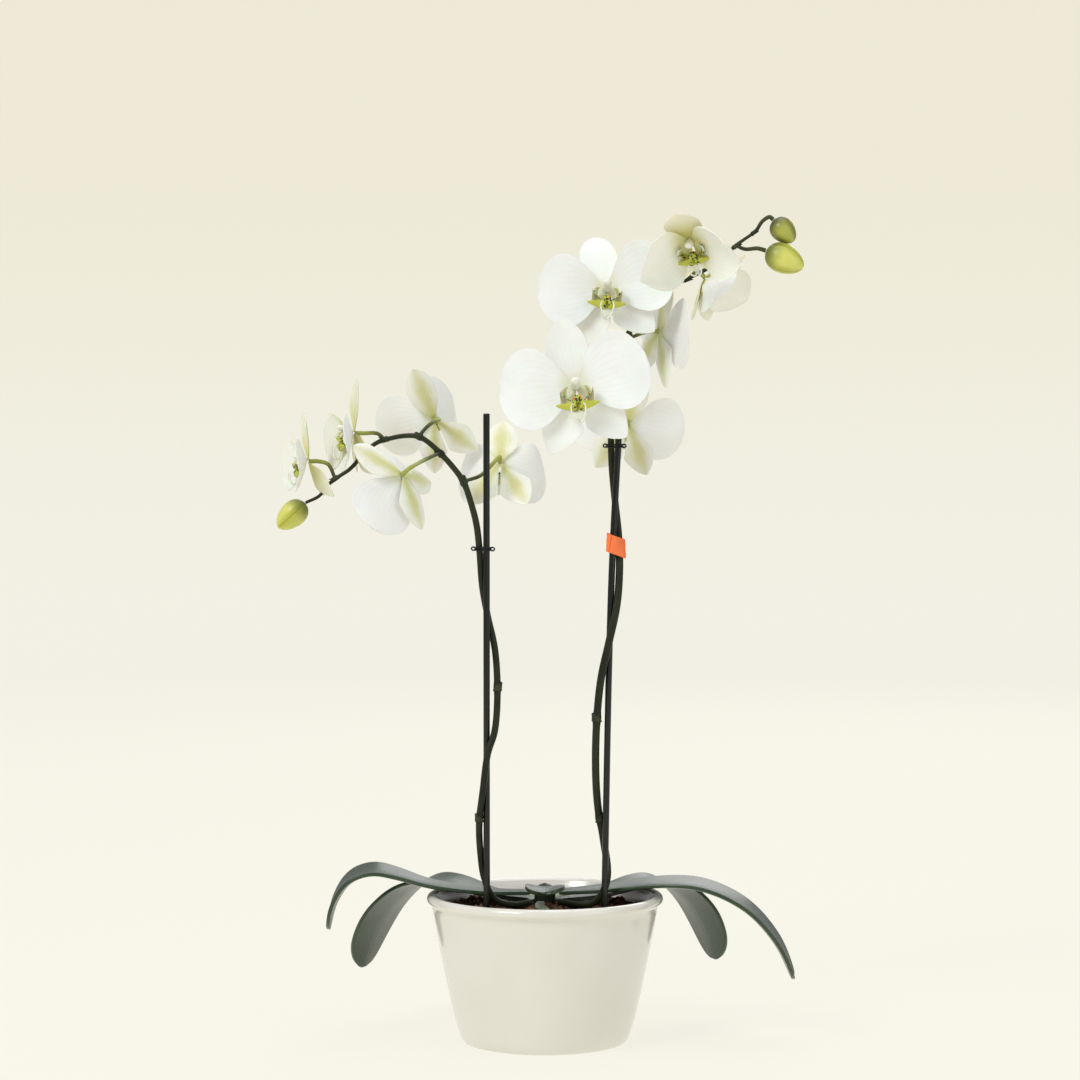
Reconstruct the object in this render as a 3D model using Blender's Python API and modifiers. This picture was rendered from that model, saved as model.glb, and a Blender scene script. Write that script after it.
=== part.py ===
"""A potted moth orchid: two staked flower spikes, eleven flowers and three buds, in a plain glazed pot.

The frame is in metres with +Z up. The origin is the centre of the pot's flat foot, -Y is the front,
and the two spikes stand side by side along X. Sizes below are in millimetres and are turned into
metres where a mesh is made.
"""

import math
from dataclasses import dataclass

import bmesh
import bpy
from mathutils import Matrix, Vector

MM = 0.001

# Clearances.
GAP = 0.35  # between pieces that touch or fit
WELD = 0.00001  # merge distance in metres, far under any edge

# Pot.
POT_HEIGHT = 98.0
POT_RIM_RADIUS = 78.0
POT_FOOT_RADIUS = 54.0
POT_WALL = 4.5
POT_FLOOR = 6.0
POT_LIP = 2.0  # how far the rolled lip stands out of the wall
FLOOR_FILLET = 4.0
FOOT_FILLET = 2.0
POT_STEPS = 32

# Growing medium.
HEADSPACE = 12.0  # from the rim down to the bark
MOUND = 2.0  # rise of the bark towards the plant

# Plant base.
CROWN_RADIUS = 7.0
CROWN_HEIGHT = 17.0  # above the bark
CROWN_DEPTH = 22.0  # below the bark's top
SOCKET_FLOOR = 12.0  # bark left under the stakes

# Stakes.
STAKE_RADIUS = 2.15
STAKE_SIDES = 12

# Spikes.
LEFT_STEM_RADIUS = 2.2
RIGHT_STEM_RADIUS = 2.5
TIP_RADIUS = 1.0
PEDICEL_RADIUS = 1.15
PEDICEL_CLEAR = 1.2  # from the end of a flower stalk to the back of its sepals

# Ties.
WIRE_RADIUS = 0.6
BAND_HEIGHT = 12.0
BAND_WALL = 0.6
BAND_SLACK = 1.5  # from the stem to the middle of the tape
BAND_SLANT = -0.38  # drop of the band per unit across it

# Flowers.
TEPAL_THICKNESS = 0.9
HUB_RADIUS = 2.6
PETAL_SEAT = 2.2  # petals' hub in front of the sepals' hub
FLOWER_WIDTH = 96.0  # the width that the flower's own sizes are given for
TEPAL_COLUMNS = 4
SEPAL_ROWS = 5
PETAL_ROWS = 6
SEPAL_ROOT = 74.0  # degrees of the hub that one sepal grows from
SEPAL_NOTCH = 7.0  # least degrees from a lower sepal's root to the plane between the two
SEPAL_CLEAR = 0.8  # least distance from a lower sepal's edge to that plane
PETAL_ROOT = 90.0
SEPAL_LENGTH = 43.0
SEPAL_WIDTH = 28.0
PETAL_LENGTH = 47.0
PETAL_WIDTH = 53.0

# Leaves and roots.
LEAF_THICKNESS = 2.4
LEAF_ROWS = 10
LEAF_COLUMNS = 4
LEAF_CHANNEL = 0.11  # rise of the edges over half the width
ROOT_RADIUS = 2.6

RIM_Z = POT_HEIGHT
BARK_Z = POT_HEIGHT - HEADSPACE

# The plant's points below are drawn for these sizes, and follow them when they change.
DRAWN_BARK_Z = 86.0
DRAWN_RIM_RADIUS = 78.0
DRAWN_STAKE_RADIUS = 2.15
DRAWN_LEFT_STEM_RADIUS = 2.2
DRAWN_RIGHT_STEM_RADIUS = 2.5
TWIST_REACH = 12.0  # a stem point nearer its stake than this keeps its gap from the stake
PLANT_LIFT = BARK_Z - DRAWN_BARK_Z
RIM_SHIFT = POT_RIM_RADIUS - DRAWN_RIM_RADIUS

LIP_RADIUS = (POT_WALL + POT_LIP) / 2
INNER_RIM_RADIUS = POT_RIM_RADIUS - POT_LIP - POT_WALL
INNER_FOOT_RADIUS = POT_FOOT_RADIUS - POT_WALL


@dataclass(frozen=True)
class Finish:
    """A material's colour (linear), roughness and metallic value."""

    name: str
    colour: tuple
    roughness: float
    metallic: float = 0.0


GLAZE = Finish("glaze", (0.80, 0.78, 0.72), 0.25)
BARK = Finish("bark", (0.16, 0.09, 0.05), 0.9)
LEAF = Finish("leaf", (0.015, 0.035, 0.012), 0.4)
ROOT = Finish("root", (0.28, 0.33, 0.22), 0.7)
STEM = Finish("stem", (0.022, 0.030, 0.012), 0.5)
CANE = Finish("cane", (0.020, 0.016, 0.010), 0.35)
WIRE = Finish("wire", (0.01, 0.01, 0.01), 0.4)
TAPE = Finish("tape", (1.0, 0.21, 0.05), 0.45)
BUD = Finish("bud", (0.42, 0.42, 0.05), 0.45)
SEPAL = Finish("sepal", (0.80, 0.81, 0.62), 0.5)
PETAL = Finish("petal", (0.86, 0.86, 0.84), 0.5)
LIP = Finish("lip", (0.70, 0.66, 0.18), 0.45)


@dataclass(frozen=True)
class Tepal:
    """One sepal or petal, in the flower's own directions."""

    angle: float  # of its midline around the flower, degrees, 0 right and 90 up
    length: float
    width: float
    lift: float  # degrees forward of the flower's plane at the base
    curl: float  # further degrees forward by the tip
    cup: float  # half angle of the arc across it, positive with the edges forward
    widest: float  # share of the length where it is widest
    base: float  # exponent: under 1 it widens fast from its base
    tip: float  # exponent: 0.5 is a round end, more is more pointed
    skew: float = 0.0  # how much wider the side towards larger angles is
    room: float = 90.0  # degrees from its midline to the plane between it and its neighbour


@dataclass(frozen=True)
class Flower:
    """Where a flower is, which way it faces and how open it is."""

    name: str
    hub: tuple  # back of the flower, mm
    turn: float  # degrees from the front towards +X
    tilt: float  # degrees up
    roll: float  # degrees anticlockwise as seen from in front of the flower
    width: float
    dorsal: tuple = (0.0, 6.0)  # lift and curl of the top sepal
    lateral: tuple = (-4.0, 4.0)  # of the lower sepals
    petal: tuple = (6.0, -8.0)  # of the petals
    spread: float = 38.0  # lower sepals' angle from straight down
    petal_angle: float = 8.0  # petals' midlines above the horizontal


FLOWERS = (
    Flower("left_flower_1", (-29.6, 0.0, 383.0), 177.0, -30.0, 0.0, 79.0,
           dorsal=(10.0, 14.0), petal=(22.0, 45.0), spread=30.0, petal_angle=-4.0),
    Flower("left_flower_2", (-72.6, 0.0, 411.0), -150.0, 0.0, -24.0, 76.0,
           dorsal=(0.0, 8.0), lateral=(-14.0, 5.0), petal=(42.0, -5.0), spread=30.0, petal_angle=4.0),
    Flower("left_flower_3", (-90.8, -79.0, 376.5), -133.0, -33.0, -52.0, 78.0,
           lateral=(16.0, 5.0), petal=(30.0, 0.0), petal_angle=0.0),
    Flower("left_flower_4", (-123.4, -32.0, 402.2), -75.0, 0.0, 0.0, 75.0,
           dorsal=(-9.0, 12.0), lateral=(-16.0, 10.0), petal=(15.0, 0.0), spread=44.0, petal_angle=-24.0),
    Flower("left_flower_5", (-153.2, -32.0, 384.0), -76.0, 0.0, 0.0, 66.0,
           dorsal=(0.0, 12.0), lateral=(-30.0, 6.0), petal=(18.0, 0.0), petal_angle=-14.0),
    Flower("right_flower_1", (39.4, -36.0, 494.2), 4.0, 6.0, 11.0, 86.0,
           dorsal=(-14.0, -20.0), spread=39.0, petal_angle=6.0),
    Flower("right_flower_2", (19.6, -70.0, 431.5), 0.0, 0.0, 13.0, 95.0, spread=33.0, petal_angle=7.0),
    Flower("right_flower_3", (74.3, -4.0, 468.6), 112.0, 0.0, 16.0, 84.0,
           dorsal=(0.0, 0.0), petal=(3.0, -6.0)),
    Flower("right_flower_4", (92.4, -70.0, 526.0), -3.0, -42.0, 14.0, 84.0,
           dorsal=(18.0, 18.0), lateral=(0.0, 4.0), petal=(40.0, 4.0), petal_angle=-3.0),
    Flower("right_flower_5", (104.0, -20.0, 503.0), 65.0, -42.0, 0.0, 66.0,
           dorsal=(14.0, 16.0), lateral=(28.0, 8.0), petal=(44.0, 0.0), spread=32.0, petal_angle=6.0),
    Flower("right_flower_6", (54.4, -4.0, 408.4), 178.0, 0.0, 8.0, 76.0,
           petal=(18.0, 0.0), spread=28.0, petal_angle=-6.0),
)

# Stakes: centre lines from low in the pot to the top.
LEFT_STAKE = ((-38.0, -28.0), (-38.0, -28.0, 415.0))
RIGHT_STAKE = ((37.5, -28.0), (43.0, -28.5, 300.0), (48.5, -28.0, 414.0))

# Stems: each point is x, y, z on the centre line.
LEFT_STEM = (
    (-9.5, -7.0, 93.0), (-21.0, -15.0, 92.5), (-33.0, -21.0, 97.0), (-39.6, -23.2, 111.0),
    (-42.2, -25.6, 129.0), (-42.9, -28.0, 148.0), (-40.4, -32.2, 170.0), (-37.2, -33.0, 194.0),
    (-32.8, -30.8, 208.0), (-31.0, -28.0, 232.0), (-32.6, -24.8, 261.0), (-37.6, -23.0, 284.0),
    (-40.9, -24.0, 303.0), (-42.6, -25.6, 326.0), (-44.6, -27.0, 343.0), (-48.3, -27.5, 357.5),
    (-53.2, -27.5, 371.0), (-60.5, -27.0, 381.0), (-68.3, -27.0, 389.4), (-75.4, -26.5, 396.0),
    (-82.2, -26.0, 400.0), (-90.4, -25.5, 400.5), (-101.4, -26.0, 398.6), (-110.0, -28.0, 395.5),
    (-119.0, -30.5, 387.0), (-126.5, -32.0, 379.0), (-133.9, -32.0, 374.0), (-140.4, -32.0, 369.0),
    (-146.5, -32.0, 361.5),
)
RIGHT_STEM = (
    (9.5, -7.0, 93.0), (22.0, -15.0, 92.5), (34.0, -20.5, 96.0), (40.6, -23.6, 111.0),
    (38.2, -22.8, 137.0), (34.6, -24.8, 158.0), (33.0, -28.0, 184.0), (33.8, -29.6, 217.0),
    (36.6, -32.2, 244.0), (41.4, -33.6, 266.0), (46.6, -31.4, 290.0), (48.4, -27.8, 312.0),
    (48.0, -24.8, 334.0), (45.6, -23.2, 358.0), (43.4, -23.9, 382.0), (43.0, -25.6, 403.0),
    (44.6, -25.6, 424.0), (48.0, -25.0, 444.0), (55.0, -24.0, 468.5), (66.0, -23.0, 484.5),
    (81.6, -22.0, 497.0), (90.0, -21.0, 501.5), (105.3, -20.0, 509.0), (116.0, -20.0, 517.0),
    (126.0, -20.0, 525.5), (138.5, -20.0, 534.0),
)

# Flower stalks: the flower each carries and the points before its hub.
LEFT_PEDICELS = {
    "left_flower_1": ((-52.7, -27.5, 371.0), (-42.0, -21.5, 374.5)),
    "left_flower_2": ((-82.2, -26.0, 400.0), (-76.0, -24.0, 407.0)),
    "left_flower_3": ((-68.3, -27.0, 389.4), (-76.0, -48.0, 386.0)),
    "left_flower_4": ((-104.0, -26.5, 398.0), (-109.0, -28.5, 402.0)),
    "left_flower_5": ((-136.0, -32.0, 372.6), (-140.5, -32.0, 382.0)),
}
RIGHT_PEDICELS = {
    "right_flower_1": ((62.0, -23.4, 479.5), (49.5, -24.0, 492.0)),
    "right_flower_2": ((46.0, -25.4, 432.0), (32.0, -42.0, 436.0)),
    "right_flower_3": ((53.6, -24.2, 463.5),),
    "right_flower_4": ((107.0, -20.0, 510.5), (103.0, -32.0, 528.0)),
    "right_flower_5": ((92.0, -20.9, 502.4),),
    "right_flower_6": ((43.4, -25.6, 408.0), (49.0, -17.0, 412.0)),
}


@dataclass(frozen=True)
class Bud:
    """A closed bud: where it hangs from, where its tip is and how thick it is."""

    name: str
    neck: tuple
    tip: tuple
    width: float
    stalk: tuple


BUDS = (
    Bud("left_bud", (-155.5, -32.0, 357.0), (-173.0, -33.0, 341.0), 16.5, ()),
    Bud("right_bud_1", (148.5, -20.0, 540.5), (161.5, -22.0, 526.5), 15.5,
        ((137.0, -20.0, 533.0), (141.5, -20.0, 540.0), (146.0, -20.0, 542.5))),
    Bud("right_bud_2", (143.5, -24.0, 520.5), (167.5, -26.0, 509.5), 19.0,
        ((124.0, -20.0, 524.0), (130.0, -22.0, 521.6), (138.0, -23.5, 522.0))),
)

# Leaves: direction in degrees around +Z from +X, width, and the midline as (reach, height).
LEAVES = (
    ("leaf_1", 180.0, 54.0, ((9.0, 98.5), (40.0, 98.5), (78.0, 103.0), (98.0, 108.5), (114.0, 111.0),
                             (128.0, 106.0), (138.0, 92.0), (143.0, 74.0))),
    ("leaf_2", 358.0, 60.0, ((9.0, 98.5), (40.0, 100.0), (78.0, 103.5), (105.0, 101.0), (132.0, 88.0),
                             (152.0, 66.0), (164.0, 42.0))),
    ("leaf_3", 151.0, 50.0, ((9.0, 92.5), (40.0, 94.0), (78.0, 100.2), (98.0, 97.0), (120.0, 80.0),
                             (134.0, 58.0), (141.0, 38.0))),
    ("leaf_4", 29.0, 48.0, ((9.0, 92.5), (40.0, 94.0), (78.0, 100.2), (96.0, 97.0), (114.0, 82.0),
                            (126.0, 62.0), (132.0, 44.0))),
    ("leaf_5", 270.0, 26.0, ((8.5, 101.0), (22.0, 104.5), (36.0, 106.0), (50.0, 104.5))),
)

ROOTS = (
    ("aerial_root_1", ((-2.0, -9.5, 91.5), (-4.0, -24.0, 93.5), (2.0, -42.0, 91.5), (0.0, -58.0, 89.4))),
    ("aerial_root_2", ((3.5, 10.5, 91.5), (12.0, 28.0, 93.0), (10.0, 46.0, 91.5), (3.0, 60.0, 89.4))),
    ("aerial_root_3", ((-4.5, 10.0, 91.5), (-15.0, 30.0, 92.5), (-21.0, 48.0, 89.6))),
)


def clear_scene():
    """Remove everything the file opened with."""
    for obj in list(bpy.data.objects):
        bpy.data.objects.remove(obj, do_unlink=True)


def make_collection(name):
    """Return a new collection in the scene."""
    collection = bpy.data.collections.new(name)
    bpy.context.scene.collection.children.link(collection)
    return collection


def make_material(finish):
    """Return a Principled material with the finish's values."""
    material = bpy.data.materials.new(finish.name)
    material.use_nodes = True
    shader = material.node_tree.nodes["Principled BSDF"]
    shader.inputs["Base Color"].default_value = (*finish.colour, 1.0)
    shader.inputs["Roughness"].default_value = finish.roughness
    shader.inputs["Metallic"].default_value = finish.metallic
    return material


def add_object(name, data, collection, finish=None):
    """Link an object to a collection and give it a material of its own."""
    obj = bpy.data.objects.new(name, data)
    collection.objects.link(obj)
    if finish is not None:
        data.materials.append(make_material(finish))
    return obj


def hide_tool(obj):
    """Mark an object as one that only shapes others."""
    obj.hide_render = True
    obj.display_type = "WIRE"


def mesh_object(name, mesh_data, collection, finish=None, smooth=True):
    """Make an object from a bmesh, with faces pointing out."""
    mesh = bpy.data.meshes.new(name)
    mesh_data.to_mesh(mesh)
    mesh_data.free()
    if smooth:
        mesh.shade_smooth()
    return add_object(name, mesh, collection, finish)


def smooth_route(points, per_span):
    """Return points on a smooth curve through the given ones (centripetal Catmull-Rom)."""
    pts = [Vector(p) for p in points]
    if len(pts) < 3:
        return pts
    ends = [pts[0] * 2 - pts[1], *pts, pts[-1] * 2 - pts[-2]]
    route = []
    for i in range(1, len(ends) - 2):
        p0, p1, p2, p3 = ends[i - 1 : i + 3]
        for k in range(per_span):
            route.append(spline_point(p0, p1, p2, p3, k / per_span))
    route.append(pts[-1])
    return route


def spline_point(p0, p1, p2, p3, share):
    """One point between p1 and p2 of a centripetal Catmull-Rom span."""
    t0 = 0.0
    t1 = t0 + math.sqrt((p1 - p0).length)
    t2 = t1 + math.sqrt((p2 - p1).length)
    t3 = t2 + math.sqrt((p3 - p2).length)
    t = t1 + share * (t2 - t1)
    a1 = p0 * ((t1 - t) / (t1 - t0)) + p1 * ((t - t0) / (t1 - t0))
    a2 = p1 * ((t2 - t) / (t2 - t1)) + p2 * ((t - t1) / (t2 - t1))
    a3 = p2 * ((t3 - t) / (t3 - t2)) + p3 * ((t - t2) / (t3 - t2))
    b1 = a1 * ((t2 - t) / (t2 - t0)) + a2 * ((t - t0) / (t2 - t0))
    b2 = a2 * ((t3 - t) / (t3 - t1)) + a3 * ((t - t1) / (t3 - t1))
    return b1 * ((t2 - t) / (t2 - t1)) + b2 * ((t - t1) / (t2 - t1))


def tube_object(name, points, radii, collection, finish, resolution=1, closed=False):
    """Make a closed tube along points (mm) as a mesh, its caps welded on."""
    curve = bpy.data.curves.new(name, "CURVE")
    curve.dimensions = "3D"
    curve.bevel_depth = MM
    curve.bevel_resolution = resolution
    curve.use_fill_caps = not closed
    curve.render_resolution_u = 0
    spline = curve.splines.new("POLY")
    spline.points.add(len(points) - 1)
    spline.use_cyclic_u = closed
    for knot, point, radius in zip(spline.points, points, radii):
        knot.co = (*(Vector(point) * MM), 1.0)
        knot.radius = radius
    guide = bpy.data.objects.new(name + "_guide", curve)
    collection.objects.link(guide)
    graph = bpy.context.evaluated_depsgraph_get()
    mesh = bpy.data.meshes.new_from_object(guide.evaluated_get(graph))
    bpy.data.objects.remove(guide, do_unlink=True)
    bpy.data.curves.remove(curve)
    mesh.name = name
    mesh.materials.clear()
    welded = bmesh.new()
    welded.from_mesh(mesh)
    bmesh.ops.remove_doubles(welded, verts=welded.verts, dist=WELD)
    bmesh.ops.recalc_face_normals(welded, faces=welded.faces)
    welded.to_mesh(mesh)
    welded.free()
    mesh.shade_smooth()
    return add_object(name, mesh, collection, finish)


def tapered(count, first, last, start=0.0):
    """Radii that stay at first up to the start share and fall evenly to last."""
    radii = []
    for i in range(count):
        share = max(0.0, (i / (count - 1) - start) / (1.0 - start))
        radii.append(first + (last - first) * share)
    return radii


def add_boolean(obj, tool, operation):
    """Cut or join a piece with a tool object."""
    modifier = obj.modifiers.new(operation.lower() + "_" + tool.name, "BOOLEAN")
    modifier.operation = operation
    modifier.object = tool
    modifier.solver = "EXACT"
    hide_tool(tool)


def turned_object(name, profile, steps, collection, finish):
    """Turn a profile of (radius, height) in mm about +Z."""
    outline = bmesh.new()
    verts = [outline.verts.new((r * MM, 0.0, z * MM)) for r, z in profile]
    for a, b in zip(verts, verts[1:]):
        outline.edges.new((a, b))
    obj = mesh_object(name, outline, collection, finish)
    screw = obj.modifiers.new("turn", "SCREW")
    screw.steps = steps
    screw.render_steps = steps
    screw.use_merge_vertices = True
    screw.merge_threshold = WELD
    return obj


def arc_points(centre, radius, first, last, count):
    """Points on an arc in the profile plane, angles in degrees."""
    points = []
    for i in range(count):
        angle = math.radians(first + (last - first) * i / (count - 1))
        points.append((centre[0] + radius * math.cos(angle), centre[1] + radius * math.sin(angle)))
    return points


def wall_radius(z, foot, rim):
    """The radius at a height of a wall that flares from its foot to its rim."""
    return foot + (rim - foot) * (z / POT_HEIGHT) ** 0.75


def inner_wall():
    """The pot's inner wall from its floor to the start of the lip, as (radius, height)."""
    points = [(INNER_FOOT_RADIUS - FLOOR_FILLET, POT_FLOOR)]
    points += [(wall_radius(z, INNER_FOOT_RADIUS, INNER_RIM_RADIUS), z) for z in (9.5, 22.0, 45.0, 70.0)]
    points += [(POT_RIM_RADIUS - 2 * LIP_RADIUS, RIM_Z - LIP_RADIUS)]
    return points


def inner_radius(z):
    """The radius of the pot's inner wall at a height, straight between its profile's points."""
    wall = inner_wall()
    for (r0, z0), (r1, z1) in zip(wall, wall[1:]):
        if z0 <= z <= z1:
            return r0 + (r1 - r0) * (z - z0) / (z1 - z0)
    return wall[-1][0]


def build_pot(collection):
    """A tapered round pot with a rolled lip and a flat foot."""
    lip_centre = (POT_RIM_RADIUS - LIP_RADIUS, RIM_Z - LIP_RADIUS)
    outer_rim = POT_RIM_RADIUS - POT_LIP
    under_lip = lip_centre[1] - LIP_RADIUS
    profile = [(0.0, POT_FLOOR), *inner_wall()]
    profile += arc_points(lip_centre, LIP_RADIUS, 180.0, 0.0, 7)[1:]
    profile += [(wall_radius(z, POT_FOOT_RADIUS, outer_rim), z) for z in (under_lip, 70.0, 45.0, 22.0, 7.0)]
    profile += arc_points((POT_FOOT_RADIUS - FOOT_FILLET, FOOT_FILLET), FOOT_FILLET, 0.0, -90.0, 3)
    profile += [(0.0, 0.0)]
    return turned_object("pot", profile, POT_STEPS, collection, GLAZE)


def build_bark(collection, tools):
    """The growing medium, with sockets for the stakes and the plant's base."""
    shoulder = BARK_Z - 3.0
    profile = [(0.0, BARK_Z + MOUND), (30.0, BARK_Z + MOUND), (inner_radius(BARK_Z) - 5.0, BARK_Z)]
    profile += [(inner_radius(shoulder) - GAP, shoulder)]
    below = [(radius - GAP, z) for radius, z in inner_wall() if POT_FLOOR < z < shoulder]
    profile += reversed(below)
    profile += [(INNER_FOOT_RADIUS - FLOOR_FILLET - GAP, POT_FLOOR + GAP), (0.0, POT_FLOOR + GAP)]
    bark = turned_object("bark_medium", profile, POT_STEPS, collection, BARK)
    for side, stake in (("left", LEFT_STAKE), ("right", RIGHT_STAKE)):
        socket = build_stake_solid(side + "_socket", stake, STAKE_RADIUS + GAP, SOCKET_FLOOR, tools, None)
        add_boolean(bark, socket, "DIFFERENCE")
    hole = build_crown_solid("crown_socket", GAP, tools, None)
    add_boolean(bark, hole, "DIFFERENCE")
    return bark


def build_crown_solid(name, grow, collection, finish):
    """The short stout stem that the leaves and spikes leave from."""
    base = BARK_Z + MOUND - CROWN_DEPTH - grow
    top = BARK_Z + MOUND + CROWN_HEIGHT + grow
    radius = CROWN_RADIUS + grow
    profile = [(0.0, top), (radius * 0.6, top - 1.5), (radius, top - 6.0)]
    profile += [(radius, base + 3.0), (radius * 0.7, base), (0.0, base)]
    return turned_object(name, profile, 16, collection, finish)


def stake_route(stake, foot):
    """The stake's centre line from its foot height."""
    low = (*stake[0], foot)
    return smooth_route((low, *lifted(stake[1:])), 4)


def build_stake_solid(name, stake, radius, foot, collection, finish):
    """A round cane along the stake's line."""
    route = stake_route(stake, foot)
    resolution = (STAKE_SIDES - 4) // 2
    return tube_object(name, route, [radius] * len(route), collection, finish, resolution)


def build_spike(name, stem, pedicels, stalks, radius, collection, tools):
    """One flower spike: the main stem with every flower stalk grown from it."""
    route = smooth_route(stem, 2)
    spike = tube_object(name, route, tapered(len(route), radius, TIP_RADIUS, 0.45), collection, STEM, 2)
    by_name = {flower.name: flower for flower in FLOWERS}
    for flower_name, points in pedicels.items():
        flower = by_name[flower_name]
        facing = flower_matrix(flower).to_3x3() @ Vector((0.0, 0.0, 1.0))
        hub = Vector(lifted((flower.hub,))[0])
        end = hub - facing * (PEDICEL_CLEAR + TEPAL_THICKNESS / 2)
        before = hub - facing * (PEDICEL_CLEAR + 7.0)
        line = smooth_route((*lifted(points), before, end), 3)
        radii = tapered(len(line), PEDICEL_RADIUS, PEDICEL_RADIUS * 1.3)
        add_boolean(spike, tube_object(name + "_to_" + flower_name, line, radii, tools, None), "UNION")
    for bud in stalks:
        line = smooth_route((*lifted(bud.stalk), *lifted((bud_base(bud),))), 3)
        radii = tapered(len(line), PEDICEL_RADIUS, PEDICEL_RADIUS)
        add_boolean(spike, tube_object(name + "_to_" + bud.name, line, radii, tools, None), "UNION")
    return spike


def bud_base(bud):
    """Where a bud's stalk stops, just short of the bud."""
    neck = Vector(bud.neck)
    back = (neck - Vector(bud.tip)).normalized()
    return tuple(neck + back * 2 * GAP)


def build_bud(bud, collection):
    """An egg-shaped bud, blunt at its neck and pointed at its tip."""
    axis = Vector(bud.tip) - Vector(bud.neck)
    neck = Vector(lifted((bud.neck,))[0])
    egg = bmesh.new()
    bmesh.ops.create_uvsphere(egg, u_segments=12, v_segments=8, radius=0.5)
    for vert in egg.verts:
        along = vert.co.z + 0.5
        vert.co.x *= 1.0 - 0.30 * along
        vert.co.y *= 1.0 - 0.30 * along
    size = Matrix.Diagonal((bud.width * 1.16, bud.width * 1.16, axis.length, 1.0))
    turn = axis.to_track_quat("Z", "Y").to_matrix().to_4x4()
    place = Matrix.Translation(neck + axis * 0.5) @ turn @ size
    egg.transform(Matrix.Scale(MM, 4) @ place)
    return mesh_object(bud.name, egg, collection, BUD)


def flower_matrix(flower):
    """From a flower's own directions (right, up, front) in mm to the world in mm."""
    turn = math.radians(flower.turn)
    tilt = math.radians(flower.tilt)
    front = Vector((math.sin(turn) * math.cos(tilt), -math.cos(turn) * math.cos(tilt), math.sin(tilt)))
    right = Vector((math.cos(turn), math.sin(turn), 0.0))
    up = front.cross(right)
    roll = math.radians(flower.roll)
    up_rolled = up * math.cos(roll) - right * math.sin(roll)
    right_rolled = right * math.cos(roll) + up * math.sin(roll)
    basis = Matrix((right_rolled, up_rolled, front)).transposed().to_4x4()
    scale = Matrix.Scale(flower.width / FLOWER_WIDTH, 4)
    return Matrix.Translation(lifted((flower.hub,))[0]) @ basis @ scale


def tepal_point(tepal, seat, along, across):
    """A point on a tepal: along runs 0 to 1 to its tip and across -1 to 1 from edge to edge."""
    lift = math.radians(tepal.lift)
    curl = math.radians(tepal.curl) or 1e-6
    slope = lift + curl * along
    reach = HUB_RADIUS + tepal.length * (math.sin(slope) - math.sin(lift)) / curl
    rise = seat - tepal.length * (math.cos(slope) - math.cos(lift)) / curl
    if along < tepal.widest:
        share = math.sin(math.pi / 2 * along / tepal.widest) ** tepal.base
    else:
        share = (1.0 - ((along - tepal.widest) / (1.0 - tepal.widest)) ** 2) ** tepal.tip
    half = tepal.width / 2 * share * (1.0 + tepal.skew * (1 if across > 0 else -1))
    if tepal.room < 90.0:
        room = math.radians(tepal.room)
        half = min(half, (reach * math.sin(room) - SEPAL_CLEAR) / math.cos(room))
    cup = math.radians(tepal.cup) or 1e-6
    side = half * math.sin(cup * across) / cup
    bend = half * (1.0 - math.cos(cup * across)) / cup
    out = reach - bend * math.sin(slope)
    front = rise + bend * math.cos(slope)
    angle = math.radians(tepal.angle)
    radial = Vector((math.cos(angle), math.sin(angle), 0.0))
    sideways = Vector((-math.sin(angle), math.cos(angle), 0.0))
    return radial * out + sideways * side + Vector((0.0, 0.0, front))


def tepal_whorl(tepals, seat, rows, root):
    """Several tepals as one open surface, joined by a small disc at the flower's hub.

    Each tepal's first row is an arc of the disc's rim, root degrees wide where its neighbour leaves
    that much room, and its tip is one vertex.
    """
    columns = TEPAL_COLUMNS
    sheet = bmesh.new()
    rim = []
    for tepal in tepals:
        first = []
        arc = min(root, 2 * (tepal.room - SEPAL_NOTCH))
        for j in range(columns + 1):
            angle = math.radians(tepal.angle - arc / 2 + arc * j / columns)
            corner = (HUB_RADIUS * math.cos(angle), HUB_RADIUS * math.sin(angle), seat)
            first.append(sheet.verts.new(corner))
        rim += first
        below = first
        for i in range(1, rows):
            along = 1.0 - (1.0 - i / rows) ** 1.35
            row = []
            for j in range(columns + 1):
                row.append(sheet.verts.new(tepal_point(tepal, seat, along, 2.0 * j / columns - 1.0)))
            for j in range(columns):
                sheet.faces.new((below[j], row[j], row[j + 1], below[j + 1]))
            below = row
        tip = sheet.verts.new(tepal_point(tepal, seat, 1.0, 0.0))
        for j in range(columns):
            sheet.faces.new((below[j], tip, below[j + 1]))
    sheet.faces.new(rim)
    bmesh.ops.recalc_face_normals(sheet, faces=sheet.faces)
    return sheet


def sepals_of(flower):
    """The top sepal and the two lower ones, anticlockwise from the top."""
    top = Tepal(90.0, SEPAL_LENGTH, SEPAL_WIDTH, *flower.dorsal, 22.0, 0.5, 0.75, 0.6)
    low = []
    for angle in (270.0 - flower.spread, 270.0 + flower.spread):
        shape = (SEPAL_LENGTH, SEPAL_WIDTH, *flower.lateral, 18.0, 0.42, 0.75, 0.8)
        low.append(Tepal(angle, *shape, room=flower.spread))
    return (top, *low)


def petals_of(flower):
    """The right and left petals, each wider above its midline."""
    shape = (PETAL_LENGTH, PETAL_WIDTH, *flower.petal, 12.0, 0.58, 0.8, 0.5)
    right = Tepal(flower.petal_angle, *shape, 0.08)
    left = Tepal(180.0 - flower.petal_angle, *shape, -0.08)
    return (right, left)


def build_whorl(name, flower, sheet, collection, finish):
    """Make a whorl of tepals a solid of even thickness, in its place on the plant."""
    sheet.transform(Matrix.Scale(MM, 4) @ flower_matrix(flower))
    obj = mesh_object(name, sheet, collection, finish)
    wall = obj.modifiers.new("thickness", "SOLIDIFY")
    wall.thickness = TEPAL_THICKNESS * MM
    wall.offset = 0.0
    return obj


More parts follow.
